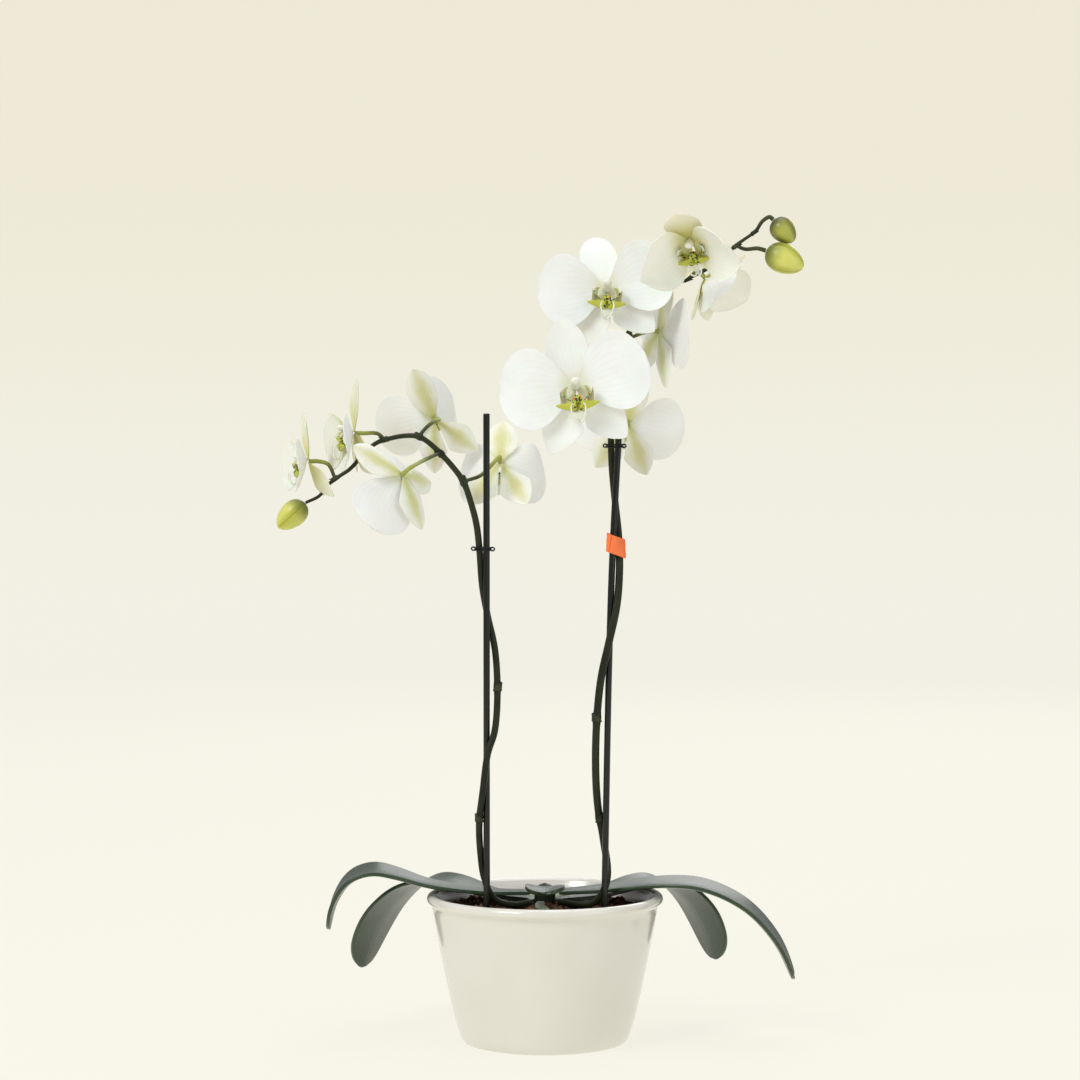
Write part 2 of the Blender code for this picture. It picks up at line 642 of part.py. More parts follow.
# Column and lip: the centre line in the flower's (up, front) plane, with half width and half depth.
LIP_SECTIONS = (
    (3.2, 14.6, 1.6, 1.2),
    (3.6, 12.6, 3.0, 2.2),
    (2.8, 8.8, 3.2, 2.4),
    (0.0, 6.0, 3.6, 1.8),
    (-4.5, 6.6, 5.5, 1.6),
    (-9.0, 9.6, 9.0, 1.6),
    (-13.0, 12.4, 7.0, 1.5),
    (-18.0, 14.2, 5.0, 1.2),
    (-22.5, 15.0, 2.4, 0.8),
)
LIP_SIDES = 8


def build_lip(flower, collection):
    """The column and the lip below it, as one lofted body of flattened sections."""
    body = bmesh.new()
    rings = []
    count = len(LIP_SECTIONS)
    for i, (up, front, half_width, half_depth) in enumerate(LIP_SECTIONS):
        before = LIP_SECTIONS[max(i - 1, 0)]
        after = LIP_SECTIONS[min(i + 1, count - 1)]
        along = Vector((0.0, after[0] - before[0], after[1] - before[1])).normalized()
        across = Vector((1.0, 0.0, 0.0))
        normal = along.cross(across)
        ring = []
        for k in range(LIP_SIDES):
            angle = 2 * math.pi * k / LIP_SIDES
            offset = across * (half_width * math.cos(angle)) + normal * (half_depth * math.sin(angle))
            ring.append(body.verts.new(Vector((0.0, up, front)) + offset))
        rings.append(ring)
    for lower, upper in zip(rings, rings[1:]):
        for k in range(LIP_SIDES):
            j = (k + 1) % LIP_SIDES
            body.faces.new((lower[k], lower[j], upper[j], upper[k]))
    body.faces.new(rings[0])
    body.faces.new(rings[-1])
    bmesh.ops.recalc_face_normals(body, faces=body.faces)
    body.transform(Matrix.Scale(MM, 4) @ flower_matrix(flower))
    return mesh_object(flower.name + "_lip", body, collection, LIP)


def build_flower(flower, collection):
    """A flower's three pieces: sepals behind, petals, then the column with the lip."""
    sepals = tepal_whorl(sepals_of(flower), 0.0, SEPAL_ROWS, SEPAL_ROOT)
    build_whorl(flower.name + "_sepals", flower, sepals, collection, SEPAL)
    petals = tepal_whorl(petals_of(flower), PETAL_SEAT, PETAL_ROWS, PETAL_ROOT)
    build_whorl(flower.name + "_petals", flower, petals, collection, PETAL)
    build_lip(flower, collection)


def build_leaf(name, direction, width, midline, collection):
    """A thick strap leaf with a shallow channel along its midline, arching over the rim."""
    turn = math.radians(direction)
    out = Vector((math.cos(turn), math.sin(turn), 0.0))
    aside = Vector((-math.sin(turn), math.cos(turn), 0.0))
    placed = [(reach + (RIM_SHIFT if reach >= DRAWN_RIM_RADIUS else 0.0), z) for reach, z in lifted(midline)]
    route = smooth_route([(reach, 0.0, z) for reach, z in placed], 6)
    sheet = bmesh.new()
    rows = []
    for i in range(LEAF_ROWS + 1):
        share = i / LEAF_ROWS
        place = share * (len(route) - 1)
        low = min(int(place), len(route) - 2)
        point = route[low].lerp(route[low + 1], place - low)
        slope = (route[low + 1] - route[low]).normalized()
        normal = out * -slope.z + Vector((0.0, 0.0, slope.x))
        centre = out * point.x + Vector((0.0, 0.0, point.z))
        half = leaf_half_width(share, width)
        row = []
        for j in range(LEAF_COLUMNS + 1):
            across = 2.0 * j / LEAF_COLUMNS - 1.0
            rise = LEAF_CHANNEL * half * abs(across) ** 1.5
            row.append(sheet.verts.new(centre + aside * (half * across) + normal * rise))
        rows.append(row)
    for near, far in zip(rows, rows[1:]):
        for j in range(LEAF_COLUMNS):
            sheet.faces.new((near[j], far[j], far[j + 1], near[j + 1]))
    bmesh.ops.recalc_face_normals(sheet, faces=sheet.faces)
    sheet.transform(Matrix.Scale(MM, 4))
    leaf = mesh_object(name, sheet, collection, LEAF)
    wall = leaf.modifiers.new("thickness", "SOLIDIFY")
    wall.thickness = LEAF_THICKNESS * MM
    wall.offset = 0.0
    return leaf


def leaf_half_width(share, width):
    """Half a leaf's width a share of the way along: clasping base, broad middle, round tip."""
    base = 0.16
    if share < 0.6:
        return width / 2 * (base + (1.0 - base) * math.sin(math.pi / 2 * share / 0.6) ** 1.2)
    fall = (share - 0.6) / 0.4
    return width / 2 * max(0.12, math.sqrt(max(0.0, 1.0 - fall**2.4)))


def build_root(name, points, collection):
    """An aerial root lying over the bark."""
    route = smooth_route(lifted(points), 4)
    radii = tapered(len(route), ROOT_RADIUS, ROOT_RADIUS * 0.7)
    return tube_object(name, route, radii, collection, ROOT, 2)


def lifted(points):
    """Points of the plant at the height that the bark gives them."""
    return tuple((*point[:-1], point[-1] + PLANT_LIFT) for point in points)


def beside_stake(stem, stake, growth):
    """A stem's points, lifted, and moved off its stake by what the two radii have grown."""
    axis = stake_route(stake, SOCKET_FLOOR)
    placed = []
    for point in lifted(stem):
        rod = closest_height(axis, point[2])
        away = Vector((point[0] - rod.x, point[1] - rod.y, 0.0))
        if growth and point[2] < axis[-1].z and 0.0 < away.length < TWIST_REACH:
            point = tuple(Vector(point) + away.normalized() * growth)
        placed.append(point)
    return tuple(placed)


def closest_height(route, z):
    """The point of a rising route at a height."""
    for a, b in zip(route, route[1:]):
        if a.z <= z <= b.z:
            return a.lerp(b, (z - a.z) / (b.z - a.z))
    return route[-1]


def stadium(first, second, radius, count):
    """Points round two upright rods: a half circle about each, joined straight."""
    line = second - first
    heading = math.atan2(line.y, line.x)
    points = []
    for centre, start in ((second, heading - math.pi / 2), (first, heading + math.pi / 2)):
        for i in range(count):
            angle = start + math.pi * i / (count - 1)
            points.append(centre + Vector((math.cos(angle), math.sin(angle), 0.0)) * radius)
    return points


def build_clip(name, stake, stem, z, radius, collection, tools):
    """A wire clip round stake and stem, with a thumb loop standing out on each side."""
    radius = max(radius, STAKE_RADIUS)
    rod = closest_height(stake_route(stake, SOCKET_FLOOR), z)
    branch = closest_height(smooth_route(stem, 2), z)
    ring = stadium(rod, branch, radius + 2 * GAP + WIRE_RADIUS, 7)
    clip = tube_object(name, ring, [WIRE_RADIUS] * len(ring), collection, WIRE, 1, closed=True)
    outward = (branch - rod).normalized()
    for side, centre, heading in (("a", branch, outward), ("b", rod, -outward)):
        start = centre + heading * (radius + 2 * GAP + WIRE_RADIUS)
        bend = start + heading * 2.2 + Vector((0.0, 0.0, 1.4))
        wing = [start, bend, start + heading * 4.6 + Vector((0.0, -1.0, -0.6))]
        tool = tube_object(name + "_wing_" + side, wing, [WIRE_RADIUS] * 3, tools, None, 1)
        add_boolean(clip, tool, "UNION")
    return clip


def build_band(stake, stem, z, collection):
    """The tape wrapped round stake and stem, a little askew."""
    cane = stake_route(stake, SOCKET_FLOOR)
    branch = smooth_route(stem, 2)
    strip = bmesh.new()
    rings = []
    for height in (z - BAND_HEIGHT / 2, z + BAND_HEIGHT / 2):
        rod = closest_height(cane, height)
        inner = max(RIGHT_STEM_RADIUS, STAKE_RADIUS) + BAND_SLACK
        loop = stadium(rod, closest_height(branch, height), inner, 9)
        ring = []
        for point in loop:
            drop = BAND_SLANT * (point.x - rod.x)
            ring.append(strip.verts.new((point.x, point.y, height + drop)))
        rings.append(ring)
    for k in range(len(loop)):
        j = (k + 1) % len(loop)
        strip.faces.new((rings[0][k], rings[0][j], rings[1][j], rings[1][k]))
    bmesh.ops.recalc_face_normals(strip, faces=strip.faces)
    strip.transform(Matrix.Scale(MM, 4))
    band = mesh_object("stem_band", strip, collection, TAPE)
    wall = band.modifiers.new("thickness", "SOLIDIFY")
    wall.thickness = BAND_WALL * MM
    wall.offset = 0.0
    return band


def main():
    """Build every piece of the potted orchid."""
    clear_scene()
    plant = make_collection("potted_orchid")
    tools = make_collection("tools")
    build_pot(plant)
    build_bark(plant, tools)
    build_crown_solid("crown", 0.0, plant, STEM)
    for name, direction, width, midline in LEAVES:
        build_leaf(name, direction, width, midline, plant)
    for name, points in ROOTS:
        build_root(name, points, plant)
    build_stake_solid("left_stake", LEFT_STAKE, STAKE_RADIUS, SOCKET_FLOOR + GAP, plant, CANE)
    build_stake_solid("right_stake", RIGHT_STAKE, STAKE_RADIUS, SOCKET_FLOOR + GAP, plant, CANE)
    stake_growth = STAKE_RADIUS - DRAWN_STAKE_RADIUS
    left_growth = stake_growth + LEFT_STEM_RADIUS - DRAWN_LEFT_STEM_RADIUS
    right_growth = stake_growth + RIGHT_STEM_RADIUS - DRAWN_RIGHT_STEM_RADIUS
    left_stem = beside_stake(LEFT_STEM, LEFT_STAKE, left_growth)
    right_stem = beside_stake(RIGHT_STEM, RIGHT_STAKE, right_growth)
    full_left = (*left_stem, *lifted((bud_base(BUDS[0]),)))
    build_spike("left_spike", full_left, LEFT_PEDICELS, (), LEFT_STEM_RADIUS, plant, tools)
    build_spike("right_spike", right_stem, RIGHT_PEDICELS, BUDS[1:], RIGHT_STEM_RADIUS, plant, tools)
    build_clip("left_clip", LEFT_STAKE, left_stem, 327.0 + PLANT_LIFT, LEFT_STEM_RADIUS, plant, tools)
    build_clip("right_clip", RIGHT_STAKE, right_stem, 394.0 + PLANT_LIFT, RIGHT_STEM_RADIUS, plant, tools)
    build_band(RIGHT_STAKE, right_stem, 330.0 + PLANT_LIFT, plant)
    for bud in BUDS:
        build_bud(bud, plant)
    for flower in FLOWERS:
        build_flower(flower, plant)


main()
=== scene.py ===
"""Fine surfaces for a potted moth orchid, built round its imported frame.

Lengths inside the classes are in millimetres, in the frame's own directions: +Z up and -Y the front.
They become metres where a mesh is made. A flower's own directions are right, up and front.
"""

import logging
import math
from collections.abc import Callable, Sequence
from dataclasses import dataclass, field, replace
from enum import Enum

import bmesh
import bpy
from mathutils import Matrix, Vector, noise


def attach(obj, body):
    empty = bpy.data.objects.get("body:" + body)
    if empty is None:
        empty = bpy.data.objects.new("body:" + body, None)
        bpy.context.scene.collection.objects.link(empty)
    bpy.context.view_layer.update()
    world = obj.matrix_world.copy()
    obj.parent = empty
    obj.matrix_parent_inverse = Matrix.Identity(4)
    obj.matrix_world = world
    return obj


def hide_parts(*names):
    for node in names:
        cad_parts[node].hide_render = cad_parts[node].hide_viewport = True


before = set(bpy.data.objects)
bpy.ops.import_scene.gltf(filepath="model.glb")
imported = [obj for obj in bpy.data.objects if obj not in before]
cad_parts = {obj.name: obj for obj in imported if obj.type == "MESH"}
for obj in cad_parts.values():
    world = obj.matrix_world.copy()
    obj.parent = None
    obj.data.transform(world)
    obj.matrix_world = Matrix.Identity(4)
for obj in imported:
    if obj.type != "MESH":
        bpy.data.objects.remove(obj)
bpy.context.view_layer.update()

LOG = logging.getLogger("orchid")
MM = 0.001
ROOT_BODY = "root"
Colour = tuple[float, float, float]
Point = tuple[float, float, float]
FLOWER_WIDTH = 96.0
HUB_RADIUS = 2.6
PETAL_SEAT = 2.2
SEPAL_CLEAR = 0.8
LEFT_STEM_RADIUS = 2.2
RIGHT_STEM_RADIUS = 2.5
STEM_STEPS = 6


class Side(Enum):
    """Which face of a flower's tissue a finish is for."""

    FRONT = "front"
    BACK = "back"


class Age(Enum):
    """How long a flower has been open: a young one is still green at its heart."""

    OPEN = "open"
    YOUNG = "young"


# ---------------------------------------------------------------- node trees


class Graph:
    """Adds nodes to a tree by type and joins them by socket name."""

    def __init__(self, tree: bpy.types.NodeTree) -> None:
        """Keep the tree that nodes are added to."""
        self.tree = tree

    def add(self, kind: str, inputs: dict | None = None, **settings: object) -> bpy.types.Node:
        """Add a node.

        Args:
            kind: the node's type name.
            inputs: values or output sockets for its inputs, by name or index.
            settings: the node's own properties.

        Returns:
            The new node.
        """
        node = self.tree.nodes.new(kind)
        for key, value in settings.items():
            setattr(node, key, value)
        for key, value in (inputs or {}).items():
            self.feed(node.inputs[key], value)
        return node

    def feed(self, socket: bpy.types.NodeSocket, value: object) -> None:
        """Link an output to a socket, or set the socket's own value."""
        if isinstance(value, bpy.types.NodeSocket):
            self.tree.links.new(value, socket)
        elif isinstance(value, tuple) and len(value) == 3 and socket.type == "RGBA":
            socket.default_value = (*value, 1.0)
        else:
            socket.default_value = value

    def math(self, operation: str, *values: object) -> bpy.types.NodeSocket:
        """One math node's result."""
        return self.add("ShaderNodeMath", dict(enumerate(values)), operation=operation).outputs[0]

    def mix(self, share: object, first: object, second: object) -> bpy.types.NodeSocket:
        """A mix of two colours."""
        node = self.add("ShaderNodeMix", data_type="RGBA")
        for socket, value in zip((node.inputs[0], node.inputs[6], node.inputs[7]), (share, first, second)):
            self.feed(socket, value)
        return node.outputs[2]

    def noise(self, where: object, scale: object, detail: float) -> bpy.types.NodeOutputs:
        """A noise texture's outputs: its value, then its colour."""
        return self.add("ShaderNodeTexNoise", {"Vector": where, "Scale": scale, "Detail": detail}).outputs

    def less(self, value: object) -> bpy.types.NodeSocket:
        """One less a value."""
        return self.math("SUBTRACT", 1.0, value)

    def ramp(self, value: object, low: float, high: float) -> bpy.types.NodeSocket:
        """A smooth step from 0 at low to 1 at high."""
        inputs = {"Value": value, "From Min": low, "From Max": high}
        return self.add("ShaderNodeMapRange", inputs, interpolation_type="SMOOTHSTEP").outputs[0]


def shader_group(name: str, inputs: dict, outputs: dict, body: Callable) -> bpy.types.NodeTree:
    """Build a shader node group once.

    Args:
        name: the group's name.
        inputs: socket types by name.
        outputs: socket types by name.
        body: called with a Graph and the group's input sockets; returns the output sockets by name.

    Returns:
        The node group.
    """
    if name in bpy.data.node_groups:
        return bpy.data.node_groups[name]
    tree = bpy.data.node_groups.new(name, "ShaderNodeTree")
    for key, kind in inputs.items():
        tree.interface.new_socket(name=key, in_out="INPUT", socket_type=kind)
    for key, kind in outputs.items():
        tree.interface.new_socket(name=key, in_out="OUTPUT", socket_type=kind)
    graph = Graph(tree)
    start = graph.add("NodeGroupInput")
    results = body(graph, start.outputs)
    graph.add("NodeGroupOutput", results)
    return tree


def grain_group() -> bpy.types.NodeTree:
    """Fine cells over broad mottling: outputs Broad, Fine and Height."""

    def body(g: Graph, given: bpy.types.NodeOutputs) -> dict:
        broad = g.noise(given["Vector"], given["Broad Scale"], 4.0)[0]
        fine = g.noise(given["Vector"], given["Fine Scale"], 2.0)[0]
        height = g.math("ADD", g.math("MULTIPLY", broad, 0.4), fine)
        return {"Broad": g.ramp(broad, 0.3, 0.7), "Fine": fine, "Height": height}

    floats = "NodeSocketFloat"
    return shader_group(
        "grain", {"Vector": "NodeSocketVector", "Broad Scale": floats, "Fine Scale": floats},
        {"Broad": floats, "Fine": floats, "Height": floats}, body)


def veins_group() -> bpy.types.NodeTree:
    """Fine lines that run along a tissue and fan out with it: output Vein is 1 on a line."""

    def body(g: Graph, given: bpy.types.NodeOutputs) -> dict:
        split = g.add("ShaderNodeSeparateXYZ", {0: given["UV"]})
        wander = g.noise(given["UV"], 5.0, 3.0)[0]
        across = g.math("ADD", split.outputs[0], g.math("MULTIPLY", wander, given["Wander"]))
        wave = g.math("COSINE", g.math("MULTIPLY", across, g.math("MULTIPLY", given["Count"], 2.0 * math.pi)))
        line = g.ramp(wave, 0.55, 1.0)
        fade = g.less(g.ramp(split.outputs[1], 0.35, 1.0))
        return {"Vein": g.math("MULTIPLY", line, fade)}

    floats = "NodeSocketFloat"
    return shader_group(
        "veins", {"UV": "NodeSocketVector", "Count": floats, "Wander": floats}, {"Vein": floats}, body)


def middle_group() -> bpy.types.NodeTree:
    """How near a point is to a tissue's midline: output Mask is 1 on it and 0 past Reach."""

    def body(g: Graph, given: bpy.types.NodeOutputs) -> dict:
        split = g.add("ShaderNodeSeparateXYZ", {0: given["UV"]})
        off = g.math("ABSOLUTE", g.math("SUBTRACT", split.outputs[0], 0.5))
        uneven = g.noise(given["UV"], 7.0, 4.0)[0]
        edge = g.math("ADD", off, g.math("MULTIPLY", g.math("SUBTRACT", uneven, 0.5), 0.22))
        inputs = {"Value": edge, "From Min": 0.0, "From Max": given["Reach"], "To Min": 1.0, "To Max": 0.0}
        mask = g.add("ShaderNodeMapRange", inputs, interpolation_type="SMOOTHSTEP").outputs[0]
        return {"Mask": mask}

    return shader_group(
        "middle", {"UV": "NodeSocketVector", "Reach": "NodeSocketFloat"}, {"Mask": "NodeSocketFloat"}, body)


def speckle_group() -> bpy.types.NodeTree:
    """Small uneven dots: output Dots is 1 inside one."""

    def body(g: Graph, given: bpy.types.NodeOutputs) -> dict:
        bend = g.noise(given["Vector"], given["Scale"], 1.0)[1]
        shift = g.add("ShaderNodeVectorMath", {0: bend, "Scale": 0.0009}, operation="SCALE")
        place = g.add("ShaderNodeVectorMath", {0: given["Vector"], 1: shift.outputs[0]}, operation="ADD")
        cell = g.add("ShaderNodeTexVoronoi", {"Vector": place.outputs[0], "Scale": given["Scale"]})
        dots = g.math("LESS_THAN", cell.outputs["Distance"], given["Size"])
        return {"Dots": dots}

    floats = "NodeSocketFloat"
    return shader_group(
        "speckle", {"Vector": "NodeSocketVector", "Scale": floats, "Size": floats}, {"Dots": floats}, body)


# ---------------------------------------------------------------- finishes


@dataclass(frozen=True)
class Finish:
    """A material with its shader's constant values; subclasses add what varies over the surface."""

    name: str
    slot: str
    base: Colour
    roughness: float = 0.5
    coat: float = 0.0
    sheen: float = 0.0
    scatter: float = 0.0
    bump: float = 0.0
    specular: float = 0.5

    def material(self) -> bpy.types.Material:
        """Build the material once.

        Returns:
            The Principled material.
        """
        if self.name in bpy.data.materials:
            return bpy.data.materials[self.name]
        made = bpy.data.materials.new(self.name)
        made.use_nodes = True
        shader = made.node_tree.nodes["Principled BSDF"]
        shader.inputs["Base Color"].default_value = (*self.base, 1.0)
        shader.inputs["Roughness"].default_value = self.roughness
        shader.inputs["Coat Weight"].default_value = self.coat
        shader.inputs["Coat Roughness"].default_value = 0.2
        shader.inputs["Specular IOR Level"].default_value = self.specular
        shader.inputs["Sheen Weight"].default_value = self.sheen
        shader.inputs["Subsurface Weight"].default_value = self.scatter
        shader.inputs["Subsurface Scale"].default_value = 0.003
        self.dress(Graph(made.node_tree), shader)
        return made

    def dress(self, g: Graph, shader: bpy.types.Node) -> None:
        """Add what varies over the surface."""

    def grain(self, g: Graph, broad: float, fine: float) -> bpy.types.Node:
        """Place the shared grain group on Object coordinates."""
        where = g.add("ShaderNodeTexCoord").outputs["Object"]
        inputs = {"Vector": where, "Broad Scale": broad, "Fine Scale": fine}
        return g.add("ShaderNodeGroup", inputs, node_tree=grain_group())

    def vary_roughness(self, g: Graph, shader: bpy.types.Node, grain: bpy.types.Node, low: float,
                       high: float) -> None:
        """Spread the roughness from low to high by the fine grain."""
        inputs = {"Value": grain.outputs["Fine"], "To Min": low, "To Max": high}
        g.feed(shader.inputs["Roughness"], g.add("ShaderNodeMapRange", inputs).outputs[0])

    def raise_by(self, g: Graph, shader: bpy.types.Node, height: object, distance: float) -> None:
        """Feed a height to the shader's normal."""
        inputs = {"Height": height, "Strength": self.bump, "Distance": distance}
        g.feed(shader.inputs["Normal"], g.add("ShaderNodeBump", inputs).outputs[0])


@dataclass(frozen=True)
class TissueFinish(Finish):
    """Flower tissue: fine veins, a tinted base and, on a back, a tinted middle."""

    vein: Colour = (0.74, 0.75, 0.68)
    vein_count: float = 13.0
    vein_strength: float = 0.16
    foot: Colour = (0.76, 0.78, 0.50)
    foot_reach: float = 0.22
    middle: Colour = (0.55, 0.57, 0.20)
    middle_reach: float = 0.0
    middle_strength: float = 0.0

    def dress(self, g: Graph, shader: bpy.types.Node) -> None:
        """Paint veins, base and middle, and raise the veins and cells a little."""
        uv = g.add("ShaderNodeUVMap", uv_map="tissue").outputs[0]
        inputs = {"UV": uv, "Count": self.vein_count, "Wander": 0.05}
        veins = g.add("ShaderNodeGroup", inputs, node_tree=veins_group())
        grain = self.grain(g, 60.0, 1400.0)
        shade = g.math("MULTIPLY", veins.outputs[0], self.vein_strength)
        colour = g.mix(shade, self.base, self.vein)
        along = g.add("ShaderNodeSeparateXYZ", {0: uv}).outputs[1]
        foot = g.less(g.ramp(along, 0.0, self.foot_reach))
        colour = g.mix(g.math("MULTIPLY", foot, 0.8), colour, self.foot)
        if self.middle_reach > 0.0:
            band = g.add("ShaderNodeGroup", {"UV": uv, "Reach": self.middle_reach}, node_tree=middle_group())
            tip = g.less(g.math("MULTIPLY", g.ramp(along, 0.55, 1.0), 0.55))
            amount = g.math("MULTIPLY", g.math("MULTIPLY", band.outputs[0], tip), self.middle_strength)
            colour = g.mix(amount, colour, self.middle)
        mottled = g.mix(g.math("MULTIPLY", grain.outputs["Broad"], 0.25), colour, self.vein)
        g.feed(shader.inputs["Base Color"], mottled)
        cells = g.math("MULTIPLY", grain.outputs["Fine"], 0.5)
        self.raise_by(g, shader, g.math("ADD", g.math("MULTIPLY", veins.outputs[0], 0.6), cells), 0.0003)


@dataclass(frozen=True)
class LipFinish(Finish):
    """The lip: yellow-green round its throat with dark specks and a few orange ones, white outside."""

    throat: Colour = (0.50, 0.54, 0.05)
    speck: Colour = (0.012, 0.016, 0.008)
    orange: Colour = (0.85, 0.13, 0.01)

    def dress(self, g: Graph, shader: bpy.types.Node) -> None:
        """Paint from the mesh's core and speck attributes."""
        core = g.add("ShaderNodeAttribute", attribute_name="core").outputs["Fac"]
        spotted = g.add("ShaderNodeAttribute", attribute_name="spots").outputs["Fac"]
        where = g.add("ShaderNodeTexCoord").outputs["Object"]
        grain = self.grain(g, 240.0, 1600.0)
        edge = g.math("ADD", core, g.math("MULTIPLY", g.math("SUBTRACT", grain.outputs["Fine"], 0.5), 0.5))
        colour = g.mix(g.ramp(edge, 0.16, 0.42), self.base, self.throat)
        for scale, size, low, paint in ((620.0, 0.44, 0.38, self.speck), (430.0, 0.24, 0.84, self.orange)):
            inputs = {"Vector": where, "Scale": scale, "Size": size}
            dots = g.add("ShaderNodeGroup", inputs, node_tree=speckle_group())
            amount = g.math("MULTIPLY", dots.outputs[0], g.ramp(spotted, low, low + 0.12))
            colour = g.mix(amount, colour, paint)
        g.feed(shader.inputs["Base Color"], colour)
        self.raise_by(g, shader, grain.outputs["Height"], 0.0003)


@dataclass(frozen=True)
class StalkFinish(Finish):
    """A living stem: mottled, with fine lengthwise lines, turning to a second colour along it."""

    far: Colour = (0.16, 0.17, 0.035)
    turn_from: float = 0.1
    turn_to: float = 0.8
    mottle: Colour = (0.075, 0.085, 0.035)

    def dress(self, g: Graph, shader: bpy.types.Node) -> None:
        """Paint from the mesh's along attribute."""
        along = g.add("ShaderNodeAttribute", attribute_name="along").outputs["Fac"]
        grain = self.grain(g, 70.0, 900.0)
        colour = g.mix(g.math("MULTIPLY", grain.outputs["Broad"], 0.6), self.base, self.mottle)
        colour = g.mix(g.ramp(along, self.turn_from, self.turn_to), colour, self.far)
        where = g.add("ShaderNodeTexCoord").outputs["Object"]
        stretch = g.add("ShaderNodeMapping", {"Vector": where, "Scale": (1.0, 1.0, 0.04)})
        lines = g.noise(stretch.outputs[0], 1500.0, 2.0)[0]
        colour = g.mix(g.math("MULTIPLY", g.ramp(lines, 0.55, 0.8), 0.35), colour, self.far)
        g.feed(shader.inputs["Base Color"], colour)
        self.vary_roughness(g, shader, grain, self.roughness - 0.08, self.roughness + 0.1)
        self.raise_by(g, shader, g.math("ADD", lines, grain.outputs["Height"]), 0.0004)


@dataclass(frozen=True)
class MottledFinish(Finish):
    """A surface in two colours that drift into each other, with a fine grain."""

    second: Colour = (0.5, 0.5, 0.5)
    broad: float = 40.0
    fine: float = 600.0
    strength: float = 0.5
    depth: float = 0.0004

    def dress(self, g: Graph, shader: bpy.types.Node) -> None:
        """Paint the two colours and raise the grain."""
        grain = self.grain(g, self.broad, self.fine)
        amount = g.math("MULTIPLY", grain.outputs["Broad"], self.strength)
        g.feed(shader.inputs["Base Color"], g.mix(amount, self.base, self.second))
        self.vary_roughness(g, shader, grain, self.roughness * 0.85, self.roughness * 1.15)
        if self.bump > 0.0:
            self.raise_by(g, shader, grain.outputs["Height"], self.depth)


@dataclass(frozen=True)
class LeafFinish(Finish):
    """A thick dark leaf with faint parallel veins and a paler midrib."""

    vein: Colour = (0.035, 0.075, 0.022)

    def dress(self, g: Graph, shader: bpy.types.Node) -> None:
        """Paint veins and midrib from the leaf's own map."""
        uv = g.add("ShaderNodeUVMap", uv_map="tissue").outputs[0]
        split = g.add("ShaderNodeSeparateXYZ", {0: uv})
        wave = g.math("COSINE", g.math("MULTIPLY", split.outputs[0], 2.0 * math.pi * 17.0))
        rib = g.math("ABSOLUTE", g.math("SUBTRACT", split.outputs[0], 0.5))
        midrib = g.less(g.ramp(rib, 0.0, 0.035))
        grain = self.grain(g, 45.0, 900.0)
        lines = g.math("MULTIPLY", g.ramp(wave, 0.2, 1.0), 0.35)
        colour = g.mix(g.math("MAXIMUM", lines, g.math("MULTIPLY", midrib, 0.7)), self.base, self.vein)
        mottle = g.math("MULTIPLY", grain.outputs["Broad"], 0.4)
        g.feed(shader.inputs["Base Color"], g.mix(mottle, colour, self.vein))
        height = g.math("SUBTRACT", g.math("MULTIPLY", wave, 0.3), g.math("MULTIPLY", midrib, 1.2))
        height = g.math("ADD", height, g.math("MULTIPLY", grain.outputs["Fine"], 0.6))
        self.raise_by(g, shader, height, 0.0005)


@dataclass(frozen=True)
class BudFinish(Finish):
    """A closed bud: darker at its neck, with a dark line where two sepals meet and a painted highlight down
    the middle of each sepal.
    """

    neck: Colour = (0.15, 0.17, 0.02)
    # pale: the colour of the painted highlight down the middle of each sepal
    pale: Colour = (0.74, 0.74, 0.18)

    def dress(self, g: Graph, shader: bpy.types.Node) -> None:
        """Paint seams and neck from the bud's own map, with a painted highlight down each sepal's middle."""
        uv = g.add("ShaderNodeUVMap", uv_map="tissue").outputs[0]
        split = g.add("ShaderNodeSeparateXYZ", {0: uv})
        seam = g.math("ABSOLUTE", g.math("SINE", g.math("MULTIPLY", split.outputs[0], 3.0 * math.pi)))
        grain = self.grain(g, 150.0, 1200.0)
        fine = g.math("MULTIPLY", g.math("SUBTRACT", grain.outputs["Fine"], 0.5), 0.25)
        # Painted highlight: each sepal's middle between the seams is paled, standing in for light on its
        # bulge.
        painted_highlight = g.ramp(g.math("ADD", seam, fine), 0.25, 0.95)
        colour = g.mix(g.math("MULTIPLY", painted_highlight, 0.75), self.base, self.pale)
        colour = g.mix(g.less(g.ramp(split.outputs[1], 0.02, 0.5)), colour, self.neck)
        line = g.less(g.ramp(seam, 0.0, 0.09))
        g.feed(shader.inputs["Base Color"], g.mix(g.math("MULTIPLY", line, 0.7), colour, self.neck))
        self.raise_by(g, shader, grain.outputs["Height"], 0.0004)


PETAL_FRONT = TissueFinish(
    "petal_front", "petal", (0.93, 0.935, 0.93), 0.55, sheen=0.15, scatter=0.25, bump=0.12)
PETAL_BACK = TissueFinish(
    "petal_back", "petal", (0.90, 0.905, 0.89), 0.6, sheen=0.1, scatter=0.2, bump=0.15, vein_strength=0.25)
SEPAL_FRONT = replace(
    PETAL_FRONT, name="sepal_front", slot="sepal", base=(0.92, 0.925, 0.90), vein_count=9.0)
SEPAL_BACK = TissueFinish(
    "sepal_back", "sepal", (0.89, 0.895, 0.84), 0.6, sheen=0.1, scatter=0.2, bump=0.15, vein_count=9.0,
    vein_strength=0.25, vein=(0.66, 0.68, 0.40), middle=(0.55, 0.58, 0.14), middle_reach=0.40,
    middle_strength=0.75, foot=(0.52, 0.56, 0.16), foot_reach=0.3)
YOUNG_PETAL_FRONT = replace(
    PETAL_FRONT, name="young_petal_front", base=(0.92, 0.92, 0.86), foot=(0.62, 0.65, 0.16), foot_reach=0.45)
YOUNG_SEPAL_FRONT = replace(
    SEPAL_FRONT, name="young_sepal_front", base=(0.88, 0.88, 0.70), foot=(0.56, 0.60, 0.09), foot_reach=0.85)
